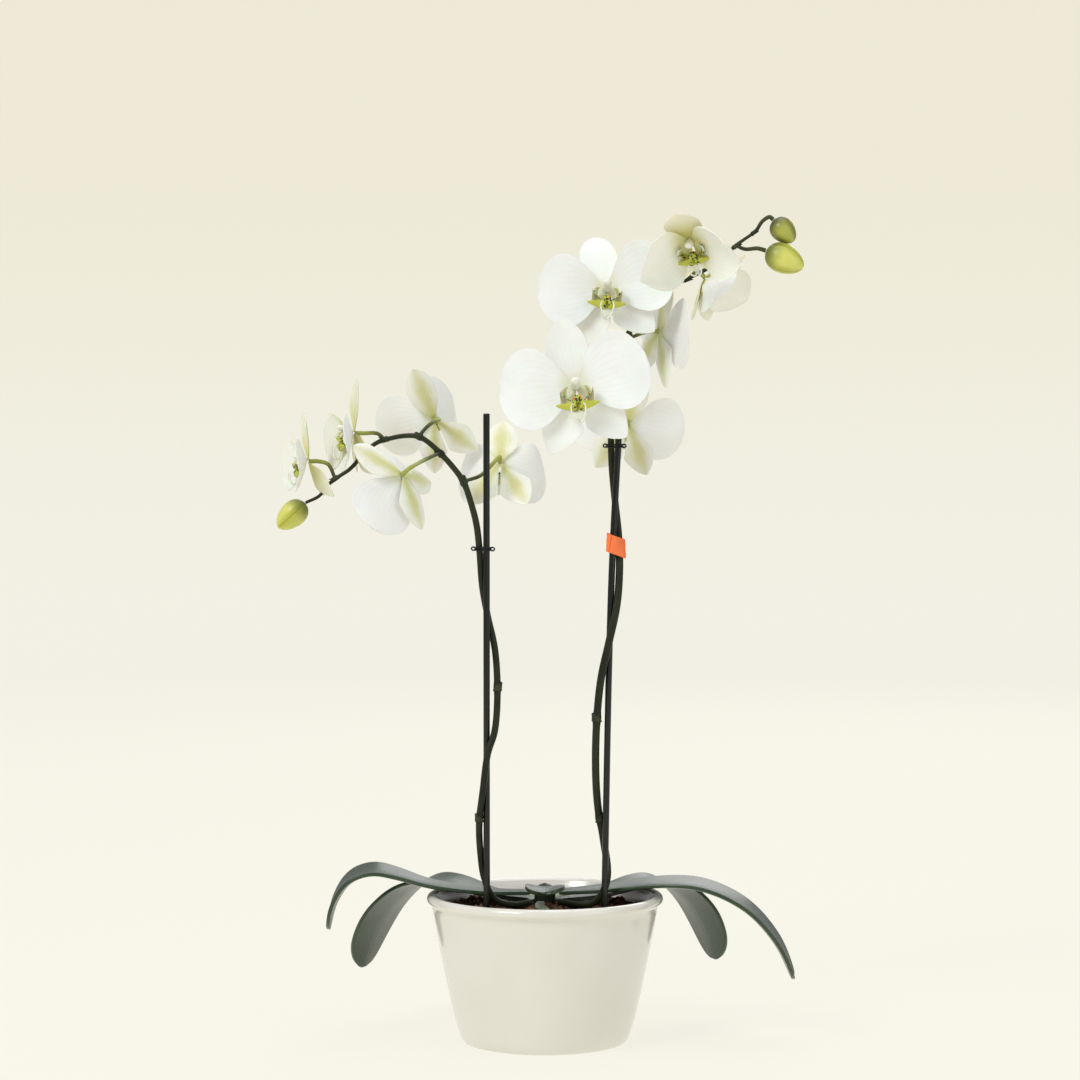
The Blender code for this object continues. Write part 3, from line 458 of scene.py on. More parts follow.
YOUNG_SEPAL_BACK = replace(
    SEPAL_BACK, name="young_sepal_back", base=(0.78, 0.79, 0.58), vein_strength=0.3, vein=(0.56, 0.60, 0.24),
    middle=(0.52, 0.56, 0.08), middle_reach=0.62, middle_strength=0.95, foot=(0.40, 0.44, 0.09),
    foot_reach=0.5)
TISSUES = {
    Age.OPEN: {"petal": (PETAL_FRONT, PETAL_BACK), "sepal": (SEPAL_FRONT, SEPAL_BACK)},
    Age.YOUNG: {"petal": (YOUNG_PETAL_FRONT, PETAL_BACK), "sepal": (YOUNG_SEPAL_FRONT, YOUNG_SEPAL_BACK)},
}
LIP_SKIN = LipFinish("lip_skin", "lip", (0.84, 0.84, 0.74), 0.45, coat=0.1, scatter=0.15, bump=0.1)
COLUMN_SKIN = MottledFinish(
    "column_skin", "lip", (0.86, 0.86, 0.80), 0.4, coat=0.15, scatter=0.2, bump=0.05,
    second=(0.78, 0.79, 0.62), broad=160.0, fine=1400.0)
STEM_SKIN = StalkFinish(
    "stem_skin", "stem", (0.009, 0.013, 0.005), 0.40, bump=0.2, specular=0.22, far=(0.030, 0.036, 0.014),
    turn_from=0.3, turn_to=1.0, mottle=(0.030, 0.036, 0.016))
PEDICEL_SKIN = StalkFinish(
    "pedicel_skin", "stem", (0.020, 0.024, 0.008), 0.45, bump=0.2, specular=0.3, far=(0.36, 0.38, 0.08))
BUD_STALK_SKIN = StalkFinish(
    "bud_stalk_skin", "stem", (0.010, 0.014, 0.006), 0.45, bump=0.2, specular=0.22, far=(0.060, 0.068, 0.022))
LEAF_SKIN = LeafFinish("leaf_skin", "leaf", (0.010, 0.022, 0.008), 0.38, coat=0.25, bump=0.25)
ROOT_SKIN = MottledFinish(
    "root_skin", "root", (0.36, 0.40, 0.31), 0.8, sheen=0.3, bump=0.3, second=(0.18, 0.27, 0.10), broad=90.0)
CANE_SKIN = StalkFinish(
    "cane_skin", "cane", (0.002, 0.003, 0.001), 0.13, bump=0.05, specular=0.42, far=(0.007, 0.009, 0.005),
    turn_from=0.0, turn_to=1.0, mottle=(0.008, 0.010, 0.005))
WIRE_SKIN = MottledFinish(
    "wire_skin", "wire", (0.004, 0.005, 0.004), 0.35, specular=0.25, second=(0.012, 0.012, 0.012))
TAPE_SKIN = MottledFinish(
    "tape_skin", "tape", (1.0, 0.215, 0.055), 0.5, bump=0.15, second=(0.90, 0.165, 0.035), broad=120.0,
    fine=1500.0)
BUD_SKIN = BudFinish("bud_skin", "bud", (0.50, 0.51, 0.06), 0.42, coat=0.15, scatter=0.1, bump=0.15)
# Its pale colour is a painted highlight down the middle of each sepal.
DARK_BUD_SKIN = BudFinish(
    "dark_bud_skin", "bud", (0.25, 0.26, 0.03), 0.42, coat=0.15, scatter=0.1, bump=0.15,
    neck=(0.07, 0.08, 0.015), pale=(0.50, 0.51, 0.09))
GLAZE_SKIN = MottledFinish(
    "glaze_skin", "glaze", (0.80, 0.78, 0.71), 0.16, coat=0.6, bump=0.03, second=(0.74, 0.715, 0.64),
    broad=22.0, fine=260.0, depth=0.0006)
BARK_SKIN = MottledFinish(
    "bark_skin", "bark", (0.11, 0.055, 0.028), 0.9, bump=0.8, second=(0.24, 0.135, 0.075), broad=130.0,
    fine=900.0, strength=0.9, depth=0.0012)
SOIL_SKIN = MottledFinish(
    "soil_skin", "bark", (0.035, 0.020, 0.012), 0.95, bump=0.8, second=(0.075, 0.042, 0.024), broad=160.0,
    fine=900.0, strength=0.8, depth=0.002)


# ---------------------------------------------------------------- mesh helpers


def link(name: str, mesh: bpy.types.Mesh) -> bpy.types.Object:
    """Put a mesh in the scene as an object at the origin."""
    obj = bpy.data.objects.new(name, mesh)
    bpy.context.scene.collection.objects.link(obj)
    return obj


def mesh_piece(name: str, built: bmesh.types.BMesh, skins: Sequence[Finish]) -> bpy.types.Object:
    """Make a smooth object from a bmesh in millimetres.

    Args:
        name: the piece's name.
        built: its mesh, freed here.
        skins: the finishes of its material slots.

    Returns:
        The object, at the origin.
    """
    bmesh.ops.remove_doubles(built, verts=built.verts, dist=0.0005)
    built.transform(Matrix.Scale(MM, 4))
    mesh = bpy.data.meshes.new(name)
    built.to_mesh(mesh)
    built.free()
    mesh.shade_smooth()
    for skin in skins:
        mesh.materials.append(skin.material())
    return link(name, mesh)


def settle(obj: bpy.types.Object) -> bpy.types.Object:
    """Turn an object with live modifiers into a plain mesh of the same name."""
    graph = bpy.context.evaluated_depsgraph_get()
    mesh = bpy.data.meshes.new_from_object(obj.evaluated_get(graph), depsgraph=graph)
    name = obj.name
    bpy.data.objects.remove(obj, do_unlink=True)
    mesh.name = name
    return link(name, mesh)


def thickened(obj: bpy.types.Object, thickness: float, offset: float = 0.0,
              back_slot: int = 0) -> bpy.types.Object:
    """Give a sheet a live thickness.

    Args:
        obj: the sheet.
        thickness: in millimetres.
        offset: -1 behind the sheet, 0 about it, 1 in front.
        back_slot: how many material slots on the back's finish is.

    Returns:
        The sheet, for settle or subdivided.
    """
    wall = obj.modifiers.new("wall", "SOLIDIFY")
    wall.thickness = thickness * MM
    wall.offset = offset
    wall.material_offset = back_slot
    return obj


def subdivided(obj: bpy.types.Object) -> bpy.types.Object:
    """Give a piece one level of subdivision and make it plain."""
    modifier = obj.modifiers.new("smooth", "SUBSURF")
    modifier.levels = 1
    modifier.render_levels = 1
    return settle(obj)


def bridge(built: bmesh.types.BMesh, rings: Sequence[Sequence[bmesh.types.BMVert]]) -> None:
    """Join each closed ring to the next; a ring that repeats one vertex is a point."""
    for lower, upper in zip(rings, rings[1:]):
        for k in range(len(lower)):
            j = (k + 1) % len(lower)
            built.faces.new(list(dict.fromkeys((lower[k], lower[j], upper[j], upper[k]))))


def turned(built: bmesh.types.BMesh, profile: Sequence[tuple[float, float]], steps: int) -> None:
    """Turn a profile of radius and height about +Z in a mesh; a radius of 0 is a point."""
    turns = [2 * math.pi * k / steps for k in range(steps)]
    rings = []
    for radius, z in profile:
        if radius == 0.0:
            rings.append([built.verts.new((0.0, 0.0, z))] * steps)
            continue
        rings.append([built.verts.new((radius * math.cos(a), radius * math.sin(a), z)) for a in turns])
    bridge(built, rings)


def mapped_face(built: bmesh.types.BMesh, *corners: tuple[bmesh.types.BMVert, tuple[float, float]]) -> None:
    """Add a face from vertices, each with its place on the tissue's own map."""
    uv = built.loops.layers.uv["tissue"]
    face = built.faces.new([vert for vert, _ in corners])
    for loop, (_, spot) in zip(face.loops, corners):
        loop[uv].uv = spot


def mapped_grid(built: bmesh.types.BMesh, grid: Sequence[Sequence[tuple]]) -> None:
    """Join rows of vertices with their places on the map."""
    for near, far in zip(grid, grid[1:]):
        for corners in zip(near, far, far[1:], near[1:]):
            mapped_face(built, *corners)


def joined(name: str, parts: Sequence[bpy.types.Object]) -> bpy.types.Object:
    """Join several pieces into the first one and name it."""
    with bpy.context.temp_override(active_object=parts[0], selected_editable_objects=list(parts)):
        bpy.ops.object.join()
    parts[0].name = name
    return parts[0]


def finish_piece(obj: bpy.types.Object, slot: str, *nodes: str) -> None:
    """Ride a piece on the only body, hide the nodes it stands for and log it."""
    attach(obj, ROOT_BODY)
    if nodes:
        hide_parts(*nodes)
    LOG.info("%s: %d faces", obj.name, len(obj.data.polygons))


def spline_point(p0: Vector, p1: Vector, p2: Vector, p3: Vector, share: float) -> Vector:
    """One point between p1 and p2 of a centripetal Catmull-Rom span."""
    t0 = 0.0
    t1 = t0 + math.sqrt((p1 - p0).length)
    t2 = t1 + math.sqrt((p2 - p1).length)
    t3 = t2 + math.sqrt((p3 - p2).length)
    t = t1 + share * (t2 - t1)
    a1 = p0 * ((t1 - t) / (t1 - t0)) + p1 * ((t - t0) / (t1 - t0))
    a2 = p1 * ((t2 - t) / (t2 - t1)) + p2 * ((t - t1) / (t2 - t1))
    a3 = p2 * ((t3 - t) / (t3 - t2)) + p3 * ((t - t2) / (t3 - t2))
    b1 = a1 * ((t2 - t) / (t2 - t0)) + a2 * ((t - t0) / (t2 - t0))
    b2 = a2 * ((t3 - t) / (t3 - t1)) + a3 * ((t - t1) / (t3 - t1))
    return b1 * ((t2 - t) / (t2 - t1)) + b2 * ((t - t1) / (t2 - t1))


def smooth_route(points: Sequence[Sequence[float]], per_span: int) -> list[Vector]:
    """Points on a smooth curve through the given ones.

    Args:
        points: the points it passes through.
        per_span: how many points it gives between two of them.

    Returns:
        The curve's points, ends included.
    """
    pts = [Vector(p) for p in points]
    if len(pts) < 3:
        return [pts[0].lerp(pts[-1], k / per_span) for k in range(per_span + 1)]
    ends = [pts[0] * 2 - pts[1], *pts, pts[-1] * 2 - pts[-2]]
    route = []
    for i in range(1, len(ends) - 2):
        p0, p1, p2, p3 = ends[i - 1 : i + 3]
        route += [spline_point(p0, p1, p2, p3, k / per_span) for k in range(per_span)]
    route.append(pts[-1])
    return route


# ---------------------------------------------------------------- geometry node trees


def geometry_tree(name: str, inputs: dict) -> tuple[bpy.types.NodeTree, Graph, bpy.types.Node, dict]:
    """Start a geometry node tree with named inputs.

    Args:
        name: the tree's name.
        inputs: socket types by name, besides the geometry.

    Returns:
        The tree, a graph on it, its input node and the sockets' identifiers by name.
    """
    tree = bpy.data.node_groups.new(name, "GeometryNodeTree")
    tree.interface.new_socket(name="Geometry", in_out="INPUT", socket_type="NodeSocketGeometry")
    names = {}
    for key, kind in inputs.items():
        names[key] = tree.interface.new_socket(name=key, in_out="INPUT", socket_type=kind).identifier
    tree.interface.new_socket(name="Geometry", in_out="OUTPUT", socket_type="NodeSocketGeometry")
    graph = Graph(tree)
    return tree, graph, graph.add("NodeGroupInput"), names


@dataclass
class Sweep:
    """A round stem, stalk, stake or wire swept along a route by a geometry node tree."""

    sides: int = 18
    tree: bpy.types.NodeTree = field(init=False)
    names: dict = field(init=False)

    def __post_init__(self) -> None:
        """Build the tree once for all routes."""
        inputs = {"Sides": "NodeSocketInt", "Skin": "NodeSocketMaterial"}
        self.tree, g, start, self.names = geometry_tree("sweep", inputs)
        share = g.add("GeometryNodeSplineParameter").outputs["Factor"]
        inputs = {"Geometry": start.outputs[0], "Name": "along", "Value": share}
        held = g.add("GeometryNodeStoreNamedAttribute", inputs, data_type="FLOAT", domain="POINT")
        ring = g.add("GeometryNodeCurvePrimitiveCircle", {"Resolution": start.outputs["Sides"], "Radius": MM})
        inputs = {"Curve": held.outputs[0], "Profile Curve": ring.outputs[0], "Fill Caps": True}
        swept = g.add("GeometryNodeCurveToMesh", inputs)
        if "Scale" in swept.inputs:
            g.feed(swept.inputs["Scale"], g.add("GeometryNodeInputRadius").outputs[0])
        smooth = g.add("GeometryNodeSetShadeSmooth", {0: swept.outputs[0]})
        real = g.add("GeometryNodeRealizeInstances", {0: smooth.outputs[0]})
        skin = g.add("GeometryNodeSetMaterial", {0: real.outputs[0], "Material": start.outputs["Skin"]})
        g.add("NodeGroupOutput", {0: skin.outputs[0]})

    def run(self, name: str, route: Sequence[Vector], radii: Sequence[float], skin: Finish,
            closed: bool = False) -> bpy.types.Object:
        """Sweep one piece.

        Args:
            name: the piece's name.
            route: its centre line in millimetres.
            radii: its radius at each point, in millimetres.
            skin: its finish.
            closed: whether the route is a loop.

        Returns:
            The swept mesh object, at the origin.
        """
        curve = bpy.data.curves.new(name + "_line", "CURVE")
        curve.dimensions = "3D"
        spline = curve.splines.new("POLY")
        spline.points.add(len(route) - 1)
        spline.use_cyclic_u = closed
        for knot, point, radius in zip(spline.points, route, radii):
            knot.co = (*(point * MM), 1.0)
            knot.radius = radius
        obj = bpy.data.objects.new(name, curve)
        bpy.context.scene.collection.objects.link(obj)
        modifier = obj.modifiers.new("sweep", "NODES")
        modifier.node_group = self.tree
        modifier[self.names["Sides"]] = self.sides
        modifier[self.names["Skin"]] = skin.material()
        return settle(obj)


# ---------------------------------------------------------------- flowers


@dataclass(frozen=True)
class Tepal:
    """One sepal or petal in the flower's own directions, in millimetres and degrees."""

    angle: float
    length: float
    width: float
    lift: float
    curl: float
    cup: float
    widest: float
    base: float
    tip: float
    skew: float = 0.0
    ruffle: float = 0.0
    fold: float = 0.0
    phase: float = 0.0
    room: float = 90.0

    def point(self, seat: float, along: float, across: float) -> Vector:
        """A point of the surface.

        Args:
            seat: how far in front of the flower's back it grows.
            along: 0 at the base to 1 at the tip.
            across: -1 to 1 from edge to edge.

        Returns:
            The point as right, up and front.
        """
        lift = math.radians(self.lift)
        curl = math.radians(self.curl) or 1e-6
        slope = lift + curl * along
        reach = HUB_RADIUS * min(1.0, 0.35 + along * 6.0)
        reach += self.length * (math.sin(slope) - math.sin(lift)) / curl
        rise = seat - self.length * (math.cos(slope) - math.cos(lift)) / curl
        if along < self.widest:
            share = math.sin(math.pi / 2 * along / self.widest) ** self.base
        else:
            share = max(0.0, 1.0 - ((along - self.widest) / (1.0 - self.widest)) ** 2) ** self.tip
        claw = 2.4 * max(0.0, 1.0 - along * 3.0)
        half = self.width / 2 * share * (1.0 + self.skew * across)
        half = math.sqrt(half * half + claw * claw)
        if self.room < 90.0:
            room = math.radians(self.room)
            half = min(half, max(0.4, (reach * math.sin(room) - SEPAL_CLEAR) / math.cos(room)))
        cup = math.radians(self.cup) or 1e-6
        side = half * math.sin(cup * across) / cup
        bend = half * (1.0 - math.cos(cup * across)) / cup
        crease = abs(across) ** 0.7 - abs(across)
        bend += self.fold * half * crease * math.sin(math.pi * min(1.0, along * 1.1))
        swing = 2.0 * math.pi * 1.3 * along + self.phase + 1.4 * across
        wave = self.ruffle * across * across * math.sin(swing)
        wave *= min(1.0, along * 2.0)
        out = reach - (bend + wave) * math.sin(slope)
        front = rise + (bend + wave) * math.cos(slope)
        angle = math.radians(self.angle)
        radial = Vector((math.cos(angle), math.sin(angle), 0.0))
        sideways = Vector((-math.sin(angle), math.cos(angle), 0.0))
        return radial * out + sideways * side + Vector((0.0, 0.0, front))

    def grow(self, built: bmesh.types.BMesh, seat: float, rows: int, columns: int, place: Matrix) -> None:
        """Add the surface to a mesh with its own map, faces towards the flower's front."""
        if "tissue" not in built.loops.layers.uv:
            built.loops.layers.uv.new("tissue")
        grid = []
        for i in range(rows):
            along = 1.0 - (1.0 - i / rows) ** 1.6
            row = []
            for j in range(columns + 1):
                across = math.sin(math.pi / 2 * (2.0 * j / columns - 1.0))
                vert = built.verts.new(place @ self.point(seat, along, across))
                row.append((vert, ((across + 1.0) / 2, along)))
            grid.append(row)
        mapped_grid(built, grid)
        tip = built.verts.new(place @ self.point(seat, 1.0, 0.0))
        for left, right in zip(grid[-1], grid[-1][1:]):
            mapped_face(built, left, (tip, (left[1][0], 1.0)), right)


@dataclass(frozen=True)
class Flower:
    """Where a flower is, which way it faces and how open it is."""

    name: str
    hub: Point
    turn: float
    tilt: float
    roll: float
    width: float
    dorsal: tuple[float, float] = (0.0, 6.0)
    lateral: tuple[float, float] = (-4.0, 4.0)
    petal: tuple[float, float] = (6.0, -8.0)
    spread: float = 38.0
    petal_angle: float = 8.0
    lip_roll: float = 0.0
    age: Age = Age.OPEN

    def matrix(self) -> Matrix:
        """From the flower's own directions in millimetres to the frame's."""
        turn = math.radians(self.turn)
        tilt = math.radians(self.tilt)
        front = Vector((math.sin(turn) * math.cos(tilt), -math.cos(turn) * math.cos(tilt), math.sin(tilt)))
        right = Vector((math.cos(turn), math.sin(turn), 0.0))
        up = front.cross(right)
        roll = math.radians(self.roll)
        up_rolled = up * math.cos(roll) - right * math.sin(roll)
        right_rolled = right * math.cos(roll) + up * math.sin(roll)
        basis = Matrix((right_rolled, up_rolled, front)).transposed().to_4x4()
        return Matrix.Translation(self.hub) @ basis @ Matrix.Scale(self.width / FLOWER_WIDTH, 4)

    def sepals(self) -> list[Tepal]:
        """The top sepal and the two lower ones."""
        seed = len(self.name) + self.hub[0]
        top = Tepal(90.0, 43.0, 28.0, *self.dorsal, 22.0, 0.5, 0.75, 0.6, 0.0, 0.5, 0.0, seed)
        low = []
        for i, angle in enumerate((270.0 - self.spread, 270.0 + self.spread)):
            shape = (43.0, 28.0, *self.lateral, 18.0, 0.42, 0.75, 0.8)
            low.append(Tepal(angle, *shape, ruffle=0.6, phase=seed + i, room=self.spread))
        return [top, *low]

    def petals(self) -> list[Tepal]:
        """The right and left petals, each wider above its midline."""
        cup, tip = (12.0, 0.5) if self.age is Age.OPEN else (32.0, 0.85)
        shape = (47.0, 53.0, *self.petal, cup, 0.58 if self.age is Age.OPEN else 0.46, 0.8, tip)
        seed = self.hub[2]
        right = Tepal(self.petal_angle, *shape, 0.08, 1.0, 0.12, seed)
        left = Tepal(180.0 - self.petal_angle, *shape, -0.08, 1.0, 0.12, seed + 2.0)
        return [right, left]


@dataclass
class LipShape:
    """The column, the lobes, the wings and the two tendrils of a flower's centre."""

    sections: tuple[tuple[float, float, float, float], ...] = (
        (4.9, 15.0, 1.0, 0.8), (5.1, 14.4, 2.4, 1.7), (4.9, 12.8, 3.1, 2.5), (4.0, 10.6, 3.1, 2.6),
        (2.9, 8.0, 2.9, 2.3), (1.4, 4.6, 2.9, 2.2), (0.4, 1.0, 3.2, 2.4),
    )
    column_sides: int = 20
    throat: Point = (0.0, -7.5, 10.0)

    def column(self, name: str, place: Matrix) -> bpy.types.Object:
        """The column with its rounded cap, as a loft."""
        built = bmesh.new()
        rings = []
        for i, (up, front, half_width, half_depth) in enumerate(self.sections):
            before = self.sections[max(i - 1, 0)]
            after = self.sections[min(i + 1, len(self.sections) - 1)]
            along = Vector((0.0, after[0] - before[0], after[1] - before[1])).normalized()
            normal = along.cross(Vector((1.0, 0.0, 0.0)))
            ring = []
            for k in range(self.column_sides):
                angle = 2 * math.pi * k / self.column_sides
                aside = Vector((half_width * math.cos(angle), 0.0, 0.0))
                offset = aside + normal * (half_depth * math.sin(angle))
                ring.append(built.verts.new(place @ (Vector((0.0, up, front)) + offset)))
            rings.append(ring)
        bridge(built, rings)
        built.faces.new(rings[0])
        built.faces.new(rings[-1])
        bmesh.ops.recalc_face_normals(built, faces=built.faces)
        return subdivided(mesh_piece(name, built, (COLUMN_SKIN,)))

    def sheet(self, name: str, rows: int, columns: int, place: Matrix,
              shape: Callable[[float, float], tuple[Vector, float]], thickness: float,
              reach: float) -> bpy.types.Object:
        """A thin lobe from a surface function.

        Args:
            name: the piece's name.
            rows: steps along it.
            columns: steps across it.
            place: from the flower's directions to the frame's.
            shape: gives the point and its share of specks for along 0..1 and across -1..1.
            thickness: in the flower's millimetres.
            reach: how far from the throat its yellow-green goes.

        Returns:
            The lobe as a closed thin piece with core and spots attributes.
        """
        built = bmesh.new()
        core = built.verts.layers.float.new("core")
        spots = built.verts.layers.float.new("spots")
        throat = Vector(self.throat)
        grid = []
        for i in range(rows + 1):
            row = []
            for j in range(columns + 1):
                point, specked = shape(i / rows, 2.0 * j / columns - 1.0)
                vert = built.verts.new(place @ point)
                vert[core] = max(0.0, 1.0 - (point - throat).length / reach)
                vert[spots] = specked
                row.append(vert)
            grid.append(row)
        for near, far in zip(grid, grid[1:]):
            for j in range(columns):
                built.faces.new((near[j], far[j], far[j + 1], near[j + 1]))
        return subdivided(thickened(mesh_piece(name, built, (LIP_SKIN,)), thickness))

    def side_lobe(self, hand: float) -> Callable[[float, float], tuple[Vector, float]]:
        """An ear beside the column that stands forward and curls in; hand is 1 right or -1 left."""

        def shape(along: float, across: float) -> tuple[Vector, float]:
            width = 4.6 * math.sin(math.pi * min(1.0, 0.12 + 0.86 * along)) ** 0.6
            climb = -8.2 + 9.5 * along
            bow = 3.0 + 6.2 * math.sin(math.pi * (0.15 + 0.62 * along)) - 1.6 * (across + 1.0) * (1.0 - along)
            depth = 9.4 + width * across * 0.9 + 1.5 * along
            rim = 2.4 * across * (0.4 + 0.6 * along)
            specked = max(0.0, 1.0 - along * 1.05) * (0.7 + 0.45 * across) + 0.08
            return Vector((hand * (bow + rim), climb, depth)), specked

        return shape

    def outer_ear(self, hand: float) -> Callable[[float, float], tuple[Vector, float]]:
        """A small round white ear outside each side lobe."""

        def shape(along: float, across: float) -> tuple[Vector, float]:
            width = 3.7 * math.sqrt(max(0.0, 1.0 - (2.0 * along - 1.0) ** 2 * 0.985))
            out = 8.0 + 1.7 * math.cos(across * 1.2) + 2.4 * across
            return Vector((hand * out, -4.6 + 9.6 * (along - 0.5), 8.6 + width * across)), 0.0

        return shape

    def wing(self, hand: float) -> Callable[[float, float], tuple[Vector, float]]:
        """A pointed yellow-green wing that spreads from the lip's waist."""

        def shape(along: float, across: float) -> tuple[Vector, float]:
            half = 3.7 * (1.0 - along) ** 0.75 + 0.15
            out = 1.0 + 13.2 * along
            up = -11.0 - 1.5 * along + 2.6 * along * along + half * across
            front = 12.2 - 1.0 * along + 1.0 * math.cos(across * 1.4)
            return Vector((hand * out, up, front)), 0.62 - 0.9 * along

        return shape

    def middle_lobe(self) -> Callable[[float, float], tuple[Vector, float]]:
        """The trowel-shaped front lobe."""

        def shape(along: float, across: float) -> tuple[Vector, float]:
            half = 1.6 + 3.6 * math.sin(math.pi * min(1.0, along * 1.15)) ** 0.8 * (1.0 - 0.35 * along)
            up = -5.0 - 17.5 * along
            front = 7.6 + 6.6 * along - 1.6 * along * along + 0.8 * (1.0 - abs(across)) * (1.0 - along)
            return Vector((half * across, up, front)), 0.95 - 1.9 * along

        return shape

    def callus(self, name: str, place: Matrix) -> bpy.types.Object:
        """The small two-horned bump in the throat."""
        built = bmesh.new()
        core = built.verts.layers.float.new("core")
        spots = built.verts.layers.float.new("spots")
        rows, columns = 12, 20
        ball = [(math.sin(math.pi * i / rows), -math.cos(math.pi * i / rows)) for i in range(1, rows)]
        turned(built, [(0.0, -1.0), *ball, (0.0, 1.0)], columns)
        for vert in built.verts:
            split = abs(vert.co.x)
            up = vert.co.y * 2.5 - 7.0 + split * 0.8
            front = vert.co.z * 1.8 + 11.2 + split * 1.2
            vert.co = place @ Vector((vert.co.x * 2.9, up, front))
            vert[core] = 0.75
            vert[spots] = 1.0 if split > 0.35 else 0.62
        bmesh.ops.recalc_face_normals(built, faces=built.faces)
        return mesh_piece(name, built, (LIP_SKIN,))

    def tendrils(self, name: str, place: Matrix, sweep: Sweep) -> list[bpy.types.Object]:
        """Two white tendrils that rise from the lip's tip and curl outwards."""
        pieces = []
        for hand in (-1.0, 1.0):
            knots = [(0.3, -21.0, 13.2), (1.5, -21.6, 15.2), (3.2, -19.2, 17.4), (4.4, -15.2, 18.6),
                     (4.6, -11.6, 18.2), (3.6, -9.6, 17.2)]
            route = [place @ p for p in smooth_route([(hand * x, y, z) for x, y, z in knots], 5)]
            scale = place.to_scale().x
            radii = [scale * (0.85 - 0.55 * i / len(route)) for i in range(len(route))]
            pieces.append(sweep.run(name + ("_a" if hand < 0 else "_b"), route, radii, COLUMN_SKIN))
        return pieces

    def build(self, flower: Flower, sweep: Sweep) -> bpy.types.Object:
        """Build the whole centre of a flower as one piece."""
        place = flower.matrix() @ Matrix.Rotation(math.radians(flower.lip_roll), 4, "Z")
        name = flower.name + "_centre"
        parts = [self.column(name, place), self.callus(name + "_callus", place)]
        for hand, word in ((-1.0, "left"), (1.0, "right")):
            parts.append(self.sheet(name + "_lobe_" + word, 12, 10, place, self.side_lobe(hand), 0.6, 15.0))
            parts.append(self.sheet(name + "_ear_" + word, 12, 8, place, self.outer_ear(hand), 0.6, 6.0))
            parts.append(self.sheet(name + "_wing_" + word, 10, 6, place, self.wing(hand), 0.7, 26.0))
        parts.append(self.sheet(name + "_front", 14, 8, place, self.middle_lobe(), 0.7, 10.5))
        parts += self.tendrils(name + "_tendril", place, sweep)
        return joined(name, parts)


@dataclass
class Bloom:
    """A flower's tissue: sepals behind, petals in front, then its centre."""

    flower: Flower
    sweep: Sweep
    thickness: float = 0.55
    petal_rows: int = 36
    petal_columns: int = 26
    sepal_rows: int = 30
    sepal_columns: int = 18

    def whorl(self, name: str, tepals: Sequence[Tepal], seat: float, rows: int, columns: int,
              skins: dict[Side, TissueFinish]) -> bpy.types.Object:
        """One ring of tepals as thin closed sheets with a front and a back finish."""
        built = bmesh.new()
        place = self.flower.matrix()
        for tepal in tepals:
            tepal.grow(built, seat, rows, columns, place)
        obj = mesh_piece(name, built, (skins[Side.FRONT], skins[Side.BACK]))
        return settle(thickened(obj, self.thickness, back_slot=1))

    def build(self) -> None:
        """Build and place the flower's three pieces."""
        name = self.flower.name
        skins = {slot: dict(zip(Side, pair)) for slot, pair in TISSUES[self.flower.age].items()}
        sepals = self.whorl(name + "_sepal_ring", self.flower.sepals(), 0.0, self.sepal_rows,
                            self.sepal_columns, skins["sepal"])
        finish_piece(sepals, "sepal", name + "_sepals")
        petals = self.whorl(name + "_petal_pair", self.flower.petals(), PETAL_SEAT, self.petal_rows,
                            self.petal_columns, skins["petal"])
        finish_piece(petals, "petal", name + "_petals")
        finish_piece(LipShape().build(self.flower, self.sweep), "lip", name + "_lip")


# ---------------------------------------------------------------- stems, stakes and ties


@dataclass(frozen=True)
class Stalk:
    """A flower's or bud's own stalk: what it carries and its points before that."""

    carries: str
    points: tuple[Point, ...]


